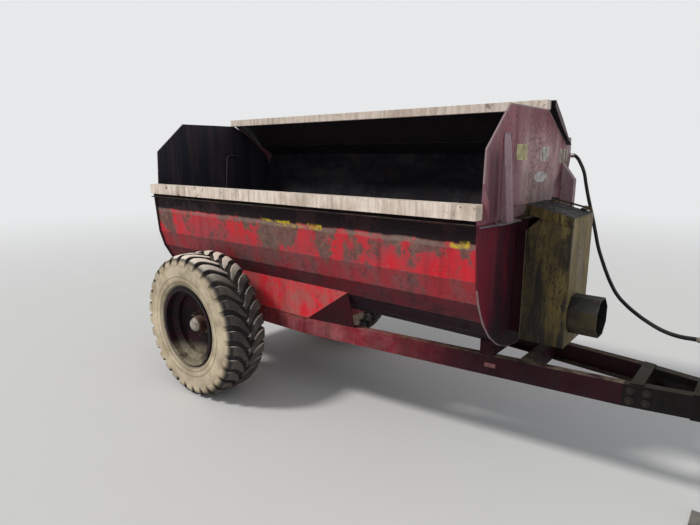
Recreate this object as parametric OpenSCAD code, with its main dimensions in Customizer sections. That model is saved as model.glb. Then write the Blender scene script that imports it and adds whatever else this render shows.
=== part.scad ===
// Side-discharge manure spreader, towed, on two wheels.
// X runs forward to the hitch, Y to the far side, Z up. The near side is -Y.
// Inside the modules x = 0 is the front face of the front end plate.

/* [Hull] */
// Length over the two end plates
hull_l = 3310; // [2800:10:3900]
// Radius of the faceted barrel, to its outer folds
barrel_r = 620; // [595:5:640]
// Height of the barrel's axis above the ground
barrel_z = 1345; // [1320:5:1400]
// Number of flat facets around the barrel
facets = 12; // [10:2:16]
// Angle of the first fold below the barrel's axis
fold_start = 9.3; // [7:0.1:12]
// Thickness of the hull's sheets
sheet_t = 6; // [5:0.5:9]
// Thickness of the end plates
plate_t = 10; // [8:1:14]
// How far the end plates stand proud of the barrel
rim = 15; // [8:1:25]
// Half width at the top of the near side sheet
near_top_y = 640; // [634:1:650]
// Height of the top of the near side sheet
near_top_z = 1603; // [1560:1:1640]
// Half width of the flat top of the end plates on the near side
plate_top_near = 297; // [200:1:380]
// Half width of the flat top of the end plates on the far side
plate_top_far = 320; // [290:1:380]
// Height of the top of the end plates
plate_top_z = 2245; // [2160:5:2320]
// Distance of the near shoulder from the middle
near_shoulder_y = 585; // [520:1:600]
// Height of the near shoulder
near_shoulder_z = 1986; // [1900:1:2060]
// Distance of the far side sheet's top fold from the middle
far_shoulder_y = 850; // [820:1:860]
// Height of the far corner of the end plates
far_shoulder_z = 1955; // [1930:1:1980]
// Height of the ear of the front plate above the far top fold
ear_h = 112; // [80:1:130]

/* [Rails and hood] */
// Height of the near top rail
near_rail_h = 86; // [60:1:110]
// Depth of the near top rail
near_rail_d = 80; // [60:1:100]
// Height of the far top rail
far_rail_h = 60; // [40:1:80]
// Depth of the far top rail
far_rail_d = 70; // [50:1:90]
// Distance of the far top rail from the middle
far_rail_y = 285; // [250:1:300]
// Width of the flange below the near rail
flange_w = 46; // [25:1:60]
// Thickness of the flange below the near rail
flange_t = 8; // [5:1:12]
// How far the hood reaches past each end plate
hood_over = 32; // [15:1:50]
// Depth of the folded end of the hood
hood_rim = 44; // [25:1:55]
// Distance of the hood's foot from the middle
hood_foot_y = 706; // [690:1:730]
// Length of the hood's lip on the slope of the far side sheet
hood_lip = 38; // [25:1:50]
// Place of the hood's fold, as a part of the way from the rail to its foot
hood_fold = 0.46; // [0.3:0.01:0.7]
// How far that fold stands out
hood_bulge = 6; // [0:0.5:20]

/* [Ribs] */
// Width of the tapered channel ribs
rib_w = 98; // [70:1:130]
// Depth of the near rib and the rear ribs at the foot
rib_depth = 45; // [30:1:54]
// Depth of the far rib
rib_far_depth = 92; // [60:1:110]
// Width of the far rib
rib_far_w = 60; // [50:1:70]
// Height up to which the far rib keeps its depth
rib_far_knee = 1775; // [1700:1:1820]
// Thickness of the rib plates
rib_t = 6; // [5:0.5:9]
// Middle of the near rib
rib_near_y = -322; // [-400:1:-260]
// Height of the ledge that the front ribs stand on
ledge_z = 1565; // [1540:1:1590]
// Height of the top of the near ribs
rib_top_z = 2080; // [2000:1:2120]

/* [Chassis] */
// Height of the chassis rails
rail_h = 132; // [110:1:150]
// Width of the rail flanges
rail_flange = 60; // [45:1:80]
// Thickness of the rail web and flanges
rail_t = 8; // [6:0.5:12]
// Height of the top of the chassis rails
rail_top_z = 703; // [690:1:715]
// Half width over the straight part of the rails
rail_half_w = 484; // [460:1:495]
// Place of the bend where the rails run inwards
bend_x = -1478; // [-1700:1:-1300]
// Place of the splice to the front beams
splice_x = 710; // [560:1:820]
// Half width over the rails at the splice
splice_half_w = 214; // [190:1:240]
// Front end of the drawbar beams
nose_x = 1360; // [1280:1:1480]
// Half width over the beams at the front end
nose_half_w = 76; // [70:1:90]
// Place of the rear bolster
bolster_rear_x = -3230; // [-3290:1:-3100]
// Thickness of the rear bolster
bolster_rear_t = 60; // [30:1:80]
// How far the rear bolster reaches up past the bottom of the barrel
bolster_rear_h = 175; // [120:1:220]
// Place of the front bolster
bolster_front_x = -110; // [-160:1:-100]
// Thickness of the front bolster
bolster_front_t = 90; // [40:1:95]
// How far the front bolster reaches up past the bottom of the barrel
bolster_front_h = 75; // [50:1:100]
// Place of the rear end of the saddle plates
saddle_x0 = -3170; // [-3200:1:-3100]
// How far the saddle plates reach past the bend of the rails, along their top
saddle_reach = 430; // [300:1:520]
// How far the saddle plates lean out at the top
saddle_lean = 22; // [10:1:28]
// Height of the top of the saddle plates
saddle_z = 990; // [940:1:1010]
// Width of the saddle's rear end plate
saddle_end_w = 110; // [60:1:130]
// Length of the plates that join the drawbar beams at the front
nose_l = 330; // [250:1:400]
// Gap of the hitch ring's pin hole, across
ring_bore = 50; // [40:1:60]
// Outer width of the hitch ring
ring_od = 120; // [104:1:140]
// Thickness of the hitch ring
ring_t = 30; // [24:1:40]
// Length of the ring's shank in front of the nose
ring_reach = 150; // [120:1:200]

/* [Axle and wheels] */
// Place of the axle
axle_x = -2328; // [-2500:1:-2150]
// Width and height of the square axle beam
axle_sq = 90; // [70:1:100]
// Radius of the tyres over the lugs
tyre_r = 588; // [570:1:605]
// Width of the tyres
tyre_w = 370; // [320:1:400]
// Height of the tyre's lugs
lug_h = 28; // [20:1:32]
// Lugs on each side of the tyre
lug_n = 30; // [26:1:32]
// Middle of each wheel from the middle of the machine
wheel_y = 848; // [830:1:900]
// Radius of the rim over its flanges
rim_r = 325; // [300:1:350]
// Radius of the stub axles
stub_r = 35; // [28:1:40]
// Radius of the hub flanges
hub_r = 140; // [120:1:160]
// Running clearance of a shaft in its bore
run_fit = 0.05; // [0.02:0.01:0.09]

/* [Rotor] */
// Radius of the rotor tube
rotor_r = 57; // [45:1:70]
// Radius of the rotor's end shafts
shaft_r = 30; // [25:1:35]
// Radius swept by the flails
flail_r = 560; // [520:1:575]
// Number of flail chains along the rotor
flail_n = 13; // [9:1:17]
// Links in each chain
link_n = 5; // [4:1:6]
// Bar thickness of the links
link_bar = 14; // [10:1:18]
// Outer width of the links
link_w = 50; // [44:1:60]
// Gap between the rotor tube and the end plates
rotor_gap = 8; // [5:1:15]

/* [Drive] */
// Rear face of the chain case
case_x0 = 75; // [60:1:90]
// Length of the chain case along X
case_l = 273; // [240:1:300]
// Near face of the chain case
case_y0 = -135; // [-150:1:-128]
// Width of the chain case
case_w = 400; // [370:1:430]
// Bottom of the chain case
case_z0 = 795; // [770:1:810]
// Height of the case's rear top edge
case_top = 1655; // [1630:1:1680]
// Slope of the lid in degrees
lid_slope = 13; // [8:0.5:16]
// Thickness of the case and lid plates
case_t = 5; // [4:0.5:8]
// Depth of the lid's near skirt
skirt_h = 54; // [35:1:65]
// Radius of the lid's hinge rod
hinge_r = 6; // [5:0.5:8]
// Height of the input shaft
input_z = 993; // [985:1:1000]
// Across flats of the shaft guard
guard_w = 232; // [200:1:250]
// Length of the shaft guard
guard_l = 170; // [150:1:260]
// Radius of the input shaft's splined end
spline_r = 17.4; // [15:0.1:20]
// Width of each of its six splines
spline_w = 8.6; // [7:0.1:9.5]
// Length of the input shaft's splined end
spline_l = 80; // [60:1:100]
// Teeth of the rotor's sprocket, twice those of the input sprocket
teeth = 24; // [20:4:28]
// Pitch of the drive chain
chain_pitch = 25.4; // [25.0:0.1:25.8]
// Radius of the drive chain's rollers
roller_r = 7.9; // [7.5:0.1:8.2]
// Width of the two sprockets
sprocket_w = 14; // [12:0.5:14.5]

/* [Jack] */
// Place of the parking jack
jack_x = 1180; // [1100:1:1230]
// Outer width of the jack's fixed tube
jack_w = 60; // [50:1:70]
// Wall of the jack's tubes
jack_wall = 5; // [4:0.5:6]
// Play between the jack's tubes on each side
jack_play = 0.8; // [0.5:0.1:2]
// Bottom of the jack's fixed tube
jack_z0 = 400; // [360:1:440]
// Top of the jack's fixed tube
jack_z1 = 900; // [860:1:940]
// Width of the jack's foot
foot_w = 170; // [140:1:200]

/* [Hidden] */

red = [0.55, 0.09, 0.10];
dark_red = [0.33, 0.06, 0.08];
plum = [0.38, 0.24, 0.27];
beige = [0.72, 0.66, 0.56];
olive = [0.42, 0.39, 0.24];
slate = [0.20, 0.22, 0.26];
rust = [0.34, 0.22, 0.15];
black = [0.06, 0.06, 0.06];
rubber = [0.18, 0.17, 0.16];
steel = [0.50, 0.50, 0.50];

seat_gap = 0.3;
weld_gap = 0.05;
eps = 1;

bearing_r = 68;
bearing_w = 34;
shaft_end = 20;
// The outermost points along X centre the whole on its box.
ring_x = nose_x + ring_reach;
front_tip = ring_x + ring_od / 2;
rear_tip = -hull_l - bearing_w - shaft_end;
shift_x = -(front_tip + rear_tip) / 2;

fold_step = (180 - 2 * fold_start) / facets;
function fold(i, r) = let (a = fold_start + i * fold_step)
    [-r * cos(a), barrel_z - r * sin(a)];
fold_z = barrel_z - barrel_r * sin(fold_start);
fold_y = barrel_r * cos(fold_start);
// Half width of the outside of each side sheet at a height
function near_side_y(z) = fold_y + (near_top_y - fold_y) * (z - fold_z) / (near_top_z - fold_z);
// Height of the far slope of the end plates, which runs straight from the top to the far corner
function slope_z(y) = plate_top_z
    + (far_shoulder_z - plate_top_z) * (y - plate_top_far) / (far_shoulder_y + rim - plate_top_far);
far_top_z = slope_z(far_shoulder_y);
function far_side_y(z) = fold_y + (far_shoulder_y - fold_y) * (z - fold_z) / (far_top_z - fold_z);

rail_x0 = -hull_l + 60;
bend_slope = (rail_half_w - splice_half_w) / (splice_x - bend_x);
head_slope = (splice_half_w - nose_half_w) / (nose_x - splice_x);
// Half width over the chassis at a place along X
function chassis_y(x) = x < bend_x ? rail_half_w
    : x < splice_x ? rail_half_w - (x - bend_x) * bend_slope
    : splice_half_w - (x - splice_x) * head_slope;
rail_z0 = rail_top_z - rail_h;
axle_z = tyre_r;

case_x1 = case_x0 + case_l;
case_y1 = case_y0 + case_w;
function lid_z(x) = case_top - (x - case_x0) * tan(lid_slope);
lid_l = case_l / cos(lid_slope) + 12;
sprocket_r = chain_pitch / (2 * sin(180 / teeth));
input_r = chain_pitch / (2 * sin(360 / teeth));
roller_gap = 0.6;
sprocket_x = case_x0 + case_t + bearing_w + 30;

// Places a module that is drawn about the front plate
module at_plate() { translate([shift_x, 0, 0]) children(); }
// Extrudes a (y, z) outline along X
module along_x(x0, x1) {
    translate([x0, 0, 0]) rotate([90, 0, 90]) linear_extrude(x1 - x0) children();
}
// Extrudes an (x, z) outline along Y
module along_y(y0, y1) {
    translate([0, y1, 0]) rotate([90, 0, 0]) linear_extrude(y1 - y0) children();
}
module rod_x(x0, x1, r) {
    translate([x0, 0, 0]) rotate([0, 90, 0]) cylinder(r = r, h = x1 - x0, $fn = 48);
}
module mirror_far(far) { mirror([0, far ? 1 : 0, 0]) children(); }

// Points of the barrel from one fold to another, out and back
function barrel_strip(i0, i1) = concat(
    [for (i = [i0 : i1]) fold(i, barrel_r)],
    [for (i = [i1 : -1 : i0]) fold(i, barrel_r - sheet_t)]);

module end_plate_outline() {
    polygon(concat(
        [[-plate_top_near, plate_top_z], [-near_shoulder_y, near_shoulder_z],
         [-near_top_y + near_rail_d / 2, near_top_z + near_rail_h],
         [-near_top_y + near_rail_d / 2, near_top_z], [-near_top_y - rim, near_top_z]],
        [for (i = [0 : facets]) fold(i, barrel_r + rim)],
        [[far_shoulder_y + rim, far_shoulder_z], [plate_top_far, plate_top_z]]));
}

module front_plate() {
    color(plum) at_plate() difference() {
        union() {
            along_x(-plate_t, 0) end_plate_outline();
            // Corner gusset in front of the near rail
            along_y(-near_top_y + near_rail_d / 2 + eps, -near_top_y + near_rail_d / 2 + eps + rib_t)
                polygon([[-eps, near_top_z], [36, near_top_z], [36, near_top_z + near_rail_h],
                    [-eps, near_top_z + 2.2 * near_rail_h]]);
            // Ear over the far top fold
            along_x(-plate_t, 0) polygon([[far_shoulder_y - 80, slope_z(far_shoulder_y - 80) - eps],
                [far_shoulder_y - 74, far_top_z + ear_h - 18], [far_shoulder_y - 50, far_top_z + ear_h],
                [far_shoulder_y - 12, far_top_z + ear_h - 2], [far_shoulder_y, far_top_z - eps]]);
            // Flat bar over the ledge
            translate([-eps, case_y0 - 34, ledge_z + 79]) cube([9, 248, 12]);
        }
        translate([0, 0, barrel_z]) rod_x(-plate_t - eps, eps, shaft_r + rotor_gap);
    }
}

module rear_plate() {
    color(plum) at_plate() difference() {
        along_x(-hull_l, -hull_l + plate_t) end_plate_outline();
        translate([0, 0, barrel_z]) rod_x(-hull_l - eps, -hull_l + plate_t + eps, shaft_r + rotor_gap);
    }
    // Bent round bar on the inner face, up and over to the far side
    bar = [[183, 1618], [207, 1898], [212, 1920], [226, 1933], [246, 1936], [327, 1940]];
    color(plum) at_plate() translate([-hull_l + plate_t + 7, 0, 0]) {
        for (i = [0 : len(bar) - 2]) translate([0, bar[i][0], bar[i][1]])
            rotate([-atan2(bar[i + 1][0] - bar[i][0], bar[i + 1][1] - bar[i][1]), 0, 0])
                cylinder(r = 9, h = norm(bar[i + 1] - bar[i]), $fn = 32);
        for (i = [1 : len(bar) - 2]) translate([0, bar[i][0], bar[i][1]]) sphere(r = 9.7, $fn = 32);
    }
}

// Near side sheet with the flange that is welded on below the rail
module side_near() {
    z1 = near_top_z - 24;
    z0 = z1 - flange_t;
    color(red) at_plate() along_x(-hull_l + plate_t, -plate_t) {
        polygon(concat([[-near_top_y, near_top_z]],
            [for (i = [0 : 1]) fold(i, barrel_r)],
            [for (i = [1 : -1 : 0]) fold(i, barrel_r - sheet_t)],
            [[-near_top_y + sheet_t, near_top_z]]));
        polygon([[-near_side_y(z0) + sheet_t / 2, z0], [-near_side_y(z0) - flange_w, z0],
            [-near_side_y(z0) - flange_w, z1], [-near_side_y(z1) + sheet_t / 2, z1]]);
    }
}

module floor_barrel() {
    color(red) at_plate() along_x(-hull_l + plate_t, -plate_t)
        polygon(barrel_strip(1, facets - 1));
}

module side_far() {
    color(red) at_plate() along_x(-hull_l + plate_t, -plate_t)
        polygon(concat([for (i = [facets - 1 : facets]) fold(i, barrel_r)],
            [[far_shoulder_y, far_top_z], [hood_foot_y - 30, slope_z(hood_foot_y - 30)],
             [hood_foot_y - 30, slope_z(hood_foot_y - 30) - slope_t],
             [far_shoulder_y - 1.2 * sheet_t, far_top_z - 0.5 * sheet_t]],
            [for (i = [facets : -1 : facets - 1]) fold(i, barrel_r - sheet_t)]));
}

// Thickness of a sheet on the far slope, measured upright
slope_t = 1.14 * sheet_t;
// Outside of the hood: far rail, fold, foot and the lip that lies on the far slope
hood_a = [far_rail_y + far_rail_d, plate_top_z + far_rail_h];
hood_c = [hood_foot_y, slope_z(hood_foot_y) + seat_gap + slope_t];
hood_e = [hood_foot_y + hood_lip, slope_z(hood_foot_y + hood_lip) + seat_gap];
hood_dir = (hood_c - hood_a) / norm(hood_c - hood_a);
hood_up = [-hood_dir[1], hood_dir[0]];
hood_b = hood_a + hood_fold * (hood_c - hood_a) + hood_bulge * hood_up;
hood_out = [hood_a, hood_b, hood_c, hood_e + [0, slope_t]];
hood_in = [hood_a - [0, sheet_t / hood_up[1]], hood_b - sheet_t * hood_up,
    [hood_foot_y - 5, slope_z(hood_foot_y - 5) + seat_gap], hood_e];

// Folded end of the hood, a strip that turns in along its outline
module hood_end(x) {
    along_x(x, x + sheet_t) polygon([hood_a, hood_b, hood_c, hood_c - [hood_rim / 2, 0],
        hood_b - hood_rim * hood_up, hood_a - [0, hood_rim]]);
}

module hood_far() {
    color(plum) at_plate() {
        along_x(-hull_l - hood_over, hood_over)
            polygon(concat(hood_out, [for (i = [3 : -1 : 0]) hood_in[i]]));
        hood_end(-hull_l - hood_over);
        hood_end(hood_over - sheet_t);
    }
}

module rail_top_near() {
    color(beige) at_plate() translate([-hull_l, -near_top_y - near_rail_d / 2, near_top_z])
        cube([hull_l, near_rail_d, near_rail_h]);
}

module rail_top_far() {
    color(beige) at_plate() translate([-hull_l, far_rail_y, plate_top_z])
        cube([hull_l, far_rail_d, far_rail_h]);
}

// Tapered channel, open to the plate, drawn on the front plate
module rib(y, w, depth, foot_z, knee_z, top_z) {
    for (side = [y - w / 2, y + w / 2 - rib_t]) along_y(side, side + rib_t)
        polygon([[0, foot_z], [depth, foot_z], [depth, knee_z], [0, top_z]]);
    along_y(y - w / 2, y + w / 2)
        polygon([[depth - rib_t, foot_z], [depth, foot_z], [depth, knee_z], [0, top_z],
            [0, top_z - rib_t * (top_z - knee_z) / depth], [depth - rib_t, knee_z]]);
}
module on_rear() { translate([-hull_l, 0, 0]) mirror([1, 0, 0]) children(); }

// The far rib stands with its outer side near the plate's edge
rib_far_y = far_side_y(ledge_z) + rim - 3 - rib_far_w / 2;
rib_far_top = far_shoulder_z - 60;
rear_foot = barrel_z - barrel_r / 2;
module ribs_front() {
    color(plum) at_plate() {
        rib(rib_near_y, rib_w, rib_depth, ledge_z, ledge_z + 10, rib_top_z);
        rib(rib_far_y, rib_far_w, rib_far_depth, ledge_z, rib_far_knee, rib_far_top);
    }
}
module ribs_rear() {
    color(plum) at_plate() on_rear() for (y = [rib_near_y, -rib_near_y])
        rib(y, rib_w, rib_depth, rear_foot, rear_foot + 10, rib_top_z);
}

module ledge_front() {
    near_y = rib_near_y - rib_w / 2 - 10;
    color(slate) at_plate() translate([0, 0, ledge_z - flange_t]) linear_extrude(flange_t)
        polygon([[0, -near_top_y + 10], [rib_depth + 4, near_y], [rib_depth + 4, case_y0 - 20],
            [0, case_y0 - 20]]);
    far_y = rib_far_y + rib_far_w / 2;
    color(slate) at_plate() translate([0, 0, ledge_z - flange_t]) linear_extrude(flange_t)
        polygon([[0, case_y1 + 20], [rib_depth + 4, case_y1 + 20], [rib_depth + 4, far_y - rib_far_w - 60],
            [rib_far_depth + 4, far_y - rib_far_w], [rib_far_depth + 4, far_y], [0, far_y]]);
}

// Channel with its web outside, following the chassis between two places along X
module channel(xs, h, z0) {
    web = [for (x = xs) [x, -chassis_y(x)]];
    back = [for (i = [len(xs) - 1 : -1 : 0]) [xs[i], -chassis_y(xs[i]) + rail_t]];
    wide = [for (i = [len(xs) - 1 : -1 : 0]) [xs[i], -chassis_y(xs[i]) + rail_flange]];
    translate([0, 0, z0]) {
        linear_extrude(h) polygon(concat(web, back));
        linear_extrude(rail_t) polygon(concat(web, wide));
        translate([0, 0, h - rail_t]) linear_extrude(rail_t) polygon(concat(web, wide));
    }
}

module chassis_rail(far) {
    mirror_far(far) difference() {
        channel([rail_x0, bend_x, splice_x], rail_h, rail_z0);
        // Notch that seats the axle beam
        translate([axle_x - axle_sq / 2, -rail_half_w - eps, rail_z0 - eps])
            cube([axle_sq, rail_flange + 2 * eps, axle_z + axle_sq / 2 - rail_z0 + eps]);
    }
}
module chassis_rail_near() { color(dark_red) at_plate() chassis_rail(false); }
module chassis_rail_far() { color(dark_red) at_plate() chassis_rail(true); }

module drawbar_beam_near() { color(olive) at_plate() channel([splice_x, nose_x], rail_h, rail_z0); }
module drawbar_beam_far() {
    color(olive) at_plate() mirror_far(true) channel([splice_x, nose_x], rail_h, rail_z0);
}

// Cross member between the webs and flanges of the chassis
module cross_member(x0, x1) {
    h = rail_h - 2 * rail_t;
    translate([0, 0, rail_z0 + rail_t]) linear_extrude(h)
        polygon([for (s = [[x0, -1], [x1, -1], [x1, 1], [x0, 1]])
            [s[0], s[1] * (chassis_y(s[0]) - rail_t)]]);
}
module hollow_member(x0, x1) {
    difference() {
        cross_member(x0, x1);
        translate([x0 - eps, -rail_half_w, rail_z0 + 2 * rail_t])
            cube([x1 - x0 - rail_t + eps, 2 * rail_half_w, rail_h - 4 * rail_t]);
    }
}
module cross_member_rear() { color(dark_red) at_plate() hollow_member(rail_x0, rail_x0 + 70); }
module cross_member_bend() { color(dark_red) at_plate() hollow_member(bend_x - 80, bend_x - 10); }
module cross_member_front() { color(dark_red) at_plate() hollow_member(120, 190); }
module cross_member_head() {
    color(olive) at_plate() translate([0, 0, rail_top_z]) linear_extrude(rail_t)
        polygon([for (s = [[splice_x + 30, -1], [splice_x + 95, -1], [splice_x + 95, 1], [splice_x + 30, 1]])
            [s[0], s[1] * (chassis_y(s[0]) - rail_t)]]);
}

// Head that joins the beams and holds the shank of the ring
module drawbar_nose() {
    color(olive) at_plate() difference() {
        union() {
            translate([0, 0, rail_z0 - rail_t]) linear_extrude(rail_t) nose_plan(nose_x - nose_l);
            translate([0, 0, rail_top_z]) linear_extrude(rail_t) nose_plan(nose_x - nose_l);
            translate([nose_x, -nose_half_w, rail_z0 - rail_t])
                cube([20, 2 * nose_half_w, rail_h + 2 * rail_t]);
            // Shank and ring
            translate([nose_x + 20, -32, ring_z() - ring_t / 2]) cube([ring_reach - 20, 64, ring_t]);
            translate([ring_x, 0, ring_z() - ring_t / 2]) cylinder(d = ring_od, h = ring_t, $fn = 64);
        }
        translate([ring_x, 0, ring_z() - ring_t]) cylinder(d = ring_bore, h = 2 * ring_t, $fn = 64);
    }
}
function ring_z() = rail_z0 + rail_h / 2;
module nose_plan(x0) {
    polygon([for (s = [[x0, -1], [nose_x, -1], [nose_x, 1], [x0, 1]]) [s[0], s[1] * chassis_y(s[0])]]);
}

// Plate across the chassis with the barrel's round cut out of its top
module bolster(x0, t, top_z) {
    difference() {
        along_x(x0, x0 + t) polygon([[-chassis_y(x0 + t), rail_top_z], [chassis_y(x0 + t), rail_top_z],
            [chassis_y(x0 + t), top_z], [-chassis_y(x0 + t), top_z]]);
        along_x(x0 - eps, x0 + t + eps) polygon([for (i = [0 : facets]) fold(i, barrel_r)]);
    }
}
module bolster_rear() {
    color(dark_red) at_plate() bolster(bolster_rear_x, bolster_rear_t, barrel_z - barrel_r + bolster_rear_h);
}
module bolster_front() {
    color(dark_red) at_plate()
        bolster(bolster_front_x, bolster_front_t, barrel_z - barrel_r + bolster_front_h);
}

// Closing plate between the barrel and the chassis rail, with a folded front end
saddle_top_x = bend_x + saddle_reach;
module saddle(far) {
    mirror_far(far) difference() {
        union() {
            along_x(saddle_x0, bend_x) saddle_strip();
            along_x(saddle_x0, saddle_x0 + sheet_t) polygon([[-rail_half_w, rail_top_z],
                [-rail_half_w + saddle_end_w, rail_top_z], [-rail_half_w + saddle_end_w, saddle_z - 40],
                [-rail_half_w - saddle_lean, saddle_z]]);
            saddle_wing();
        }
        along_x(saddle_x0 - eps, 0) polygon([for (i = [0 : facets]) fold(i, barrel_r)]);
    }
}
module saddle_strip() {
    polygon([[-rail_half_w, rail_top_z], [-rail_half_w + sheet_t, rail_top_z],
        [-rail_half_w - saddle_lean + sheet_t, saddle_z], [-rail_half_w - saddle_lean, saddle_z]]);
}
module saddle_wing() {
    y0 = -rail_half_w;
    y1 = -rail_half_w - saddle_lean;
    y2 = -chassis_y(saddle_top_x);
    // Side triangle, then the folded end triangle, each one sheet thick
    polyhedron(points = [[bend_x, y0, rail_top_z], [bend_x, y0 + sheet_t, rail_top_z],
            [bend_x, y1, saddle_z], [bend_x, y1 + sheet_t, saddle_z],
            [saddle_top_x, y1, saddle_z], [saddle_top_x, y1 + sheet_t, saddle_z]],
        faces = [[0, 2, 4], [1, 5, 3], [0, 1, 3, 2], [2, 3, 5, 4], [0, 4, 5, 1]]);
    polyhedron(points = [[bend_x, y0, rail_top_z], [bend_x, y0 + sheet_t, rail_top_z],
            [saddle_top_x, y2, rail_top_z], [saddle_top_x, y2 + sheet_t, rail_top_z],
            [saddle_top_x, y1, saddle_z], [saddle_top_x, y1 + sheet_t, saddle_z]],
        faces = [[0, 4, 2], [1, 3, 5], [0, 2, 3, 1], [2, 4, 5, 3], [4, 0, 1, 5]]);
}
module saddle_near() { color(red) at_plate() saddle(false); }
module saddle_far() { color(red) at_plate() saddle(true); }

stub_l = 70;
beam_half = wheel_y - tyre_w / 2 - 25;
module axle_beam() {
    color(dark_red) at_plate() translate([axle_x, 0, axle_z]) {
        translate([-axle_sq / 2, -beam_half, -axle_sq / 2]) cube([axle_sq, 2 * beam_half, axle_sq]);
        for (s = [-1, 1])
            translate([0, s > 0 ? beam_half - eps : -wheel_y - stub_l, 0]) rotate([-90, 0, 0])
                cylinder(r = stub_r, h = wheel_y + stub_l - beam_half + eps, $fn = 64);
    }
}

// Wheel pieces are drawn about the wheel's middle, with the outside towards -Y
module at_wheel(far) {
    at_plate() mirror_far(far) translate([axle_x, -wheel_y, axle_z]) rotate([90, 0, 0]) children();
}
disc_z = 14;
hub_in = -wheel_y + beam_half + 8;
module hub() {
    difference() {
        rotate_extrude($fn = 96) polygon([[0, hub_in], [72, hub_in], [78, hub_in + 8], [78, disc_z - 20],
            [hub_r, disc_z - 20], [hub_r, disc_z - 0.3], [70, disc_z - 0.3], [66, disc_z + 62],
            [50, disc_z + 78], [0, disc_z + 80]]);
        translate([0, 0, hub_in - eps])
            cylinder(r = stub_r + run_fit, h = stub_l - hub_in + 5 + eps, $fn = 64);
    }
}
rim_half = tyre_w / 2 - 12;
seat_r = rim_r - 22;
well_r = rim_r - 62;
module wheel_rim() {
    rotate_extrude($fn = 96) polygon([
        [rim_r, -rim_half], [rim_r, -rim_half + 9], [seat_r, -rim_half + 11], [seat_r, -rim_half + 45],
        [well_r, -rim_half + 70], [well_r, rim_half - 95], [seat_r, rim_half - 60],
        [seat_r, rim_half - 11], [rim_r, rim_half - 9], [rim_r, rim_half],
        [seat_r - 8, rim_half], [seat_r - 8, rim_half - 58], [well_r - 8, rim_half - 92],
        [well_r - 8, disc_z + 34], [hub_r + 20, disc_z + 10], [70.5, disc_z + 10], [70.5, disc_z],
        [hub_r + 24, disc_z], [well_r - 8, disc_z + 22], [well_r - 8, -rim_half + 66],
        [seat_r - 8, -rim_half + 42], [seat_r - 8, -rim_half]]);
}
module tyre() {
    h = tyre_w / 2;
    base_r = tyre_r - lug_h;
    rotate_extrude($fn = 120) polygon([
        [seat_r + seat_gap, -rim_half + 12], [rim_r + 14, -rim_half + 8], [rim_r + 60, -h],
        [rim_r + 150, -h + 4], [base_r - 34, -h + 14], [base_r - 10, -h + 42], [base_r, -h + 85],
        [base_r, h - 85], [base_r - 10, h - 42], [base_r - 34, h - 14], [rim_r + 150, h - 4],
        [rim_r + 60, h], [rim_r + 14, rim_half - 8], [seat_r + seat_gap, rim_half - 12],
        [seat_r + seat_gap, rim_half - 50], [rim_r + 20, rim_half - 34], [tyre_r - 75, h - 40],
        [tyre_r - 50, 0], [tyre_r - 75, -h + 40], [rim_r + 20, -rim_half + 34],
        [seat_r + seat_gap, -rim_half + 44]]);
    // Lugs, cut to the round of the tread and to its shoulders
    intersection() {
        rotate_extrude($fn = 120) polygon([[base_r - 70, -h + 1], [base_r - 30, -h + 2],
            [tyre_r - 22, -h + 18], [tyre_r - 5, -h + 48], [tyre_r, -h + 82], [tyre_r, h - 82],
            [tyre_r - 5, h - 48], [tyre_r - 22, h - 18], [base_r - 30, h - 2], [base_r - 70, h - 1]]);
        for (i = [0 : lug_n - 1], side = [-1, 1]) rotate(-(i + (1 - side) / 4) * 360 / lug_n)
            translate([base_r - 60, 0, 0]) rotate([90, 0, 90]) linear_extrude(lug_h + 80)
                polygon([for (p = lug_plan) [-p[0] * 30 / lug_n, side * p[1] * h / 185]]);
    }
}
// One lug seen from outside: along the tread, and out from its middle to the shoulder
lug_plan = [[-88, 184], [-82, 125], [-54, 80], [-10, 45], [35, 15], [57, -5], [71, -8], [83, 8],
    [53, 45], [21, 80], [-4, 125], [-8, 184]];
module hub_near() { color(rust) at_wheel(false) hub(); }
module hub_far() { color(rust) at_wheel(true) hub(); }
module rim_near() { color(dark_red) at_wheel(false) wheel_rim(); }
module rim_far() { color(dark_red) at_wheel(true) wheel_rim(); }
module tyre_near() { color(rubber) at_wheel(false) tyre(); }
module tyre_far() { color(rubber) at_wheel(true) tyre(); }

// Rotor with its chains hanging as they do at rest
rotor_x0 = -hull_l + plate_t + rotor_gap;
rotor_x1 = -plate_t - rotor_gap;
link_l = (flail_r - rotor_r - 110) / link_n + 2 * link_bar - 2;
link_step = link_l - 2 * link_bar + 2;
// Link with rounded ends, hanging from its top
module link() {
    r = link_w / 2;
    rotate([90, 0, 0]) translate([0, 0, -link_bar / 2]) linear_extrude(link_bar) difference() {
        polygon(link_points(r, link_l));
        translate([0, -link_bar]) polygon(link_points(r - link_bar, link_l - 2 * link_bar));
    }
}
function link_points(r, l) = concat(
    [for (a = [0 : 30 : 180]) [r * cos(a), -r + r * sin(a)]],
    [for (a = [180 : 30 : 360]) [r * cos(a), -l + r + r * sin(a)]]);
module flail() {
    translate([-10, -20, -rotor_r - 34]) cube([20, 40, 44]);
    for (i = [0 : link_n - 1])
        translate([0, 0, -rotor_r - 34 + link_bar - i * link_step]) rotate([0, 0, 90 * (i % 2)]) link();
    // Flat hammer on the last link
    translate([-9, -32, -flail_r]) cube([18, 64, flail_r - rotor_r - 34 + link_bar - link_n * link_step]);
}
module rotor() {
    pitch = (rotor_x1 - rotor_x0) / flail_n;
    color(rust) at_plate() translate([0, 0, barrel_z]) {
        rod_x(rotor_x0, rotor_x1, rotor_r);
        rod_x(-hull_l - bearing_w - shaft_end, sprocket_x + sprocket_w + 6, shaft_r);
        sprocket(teeth, sprocket_r);
        for (i = [0 : flail_n - 1]) translate([rotor_x0 + (i + 0.5) * pitch, 0, 0]) flail();
    }
}

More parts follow.
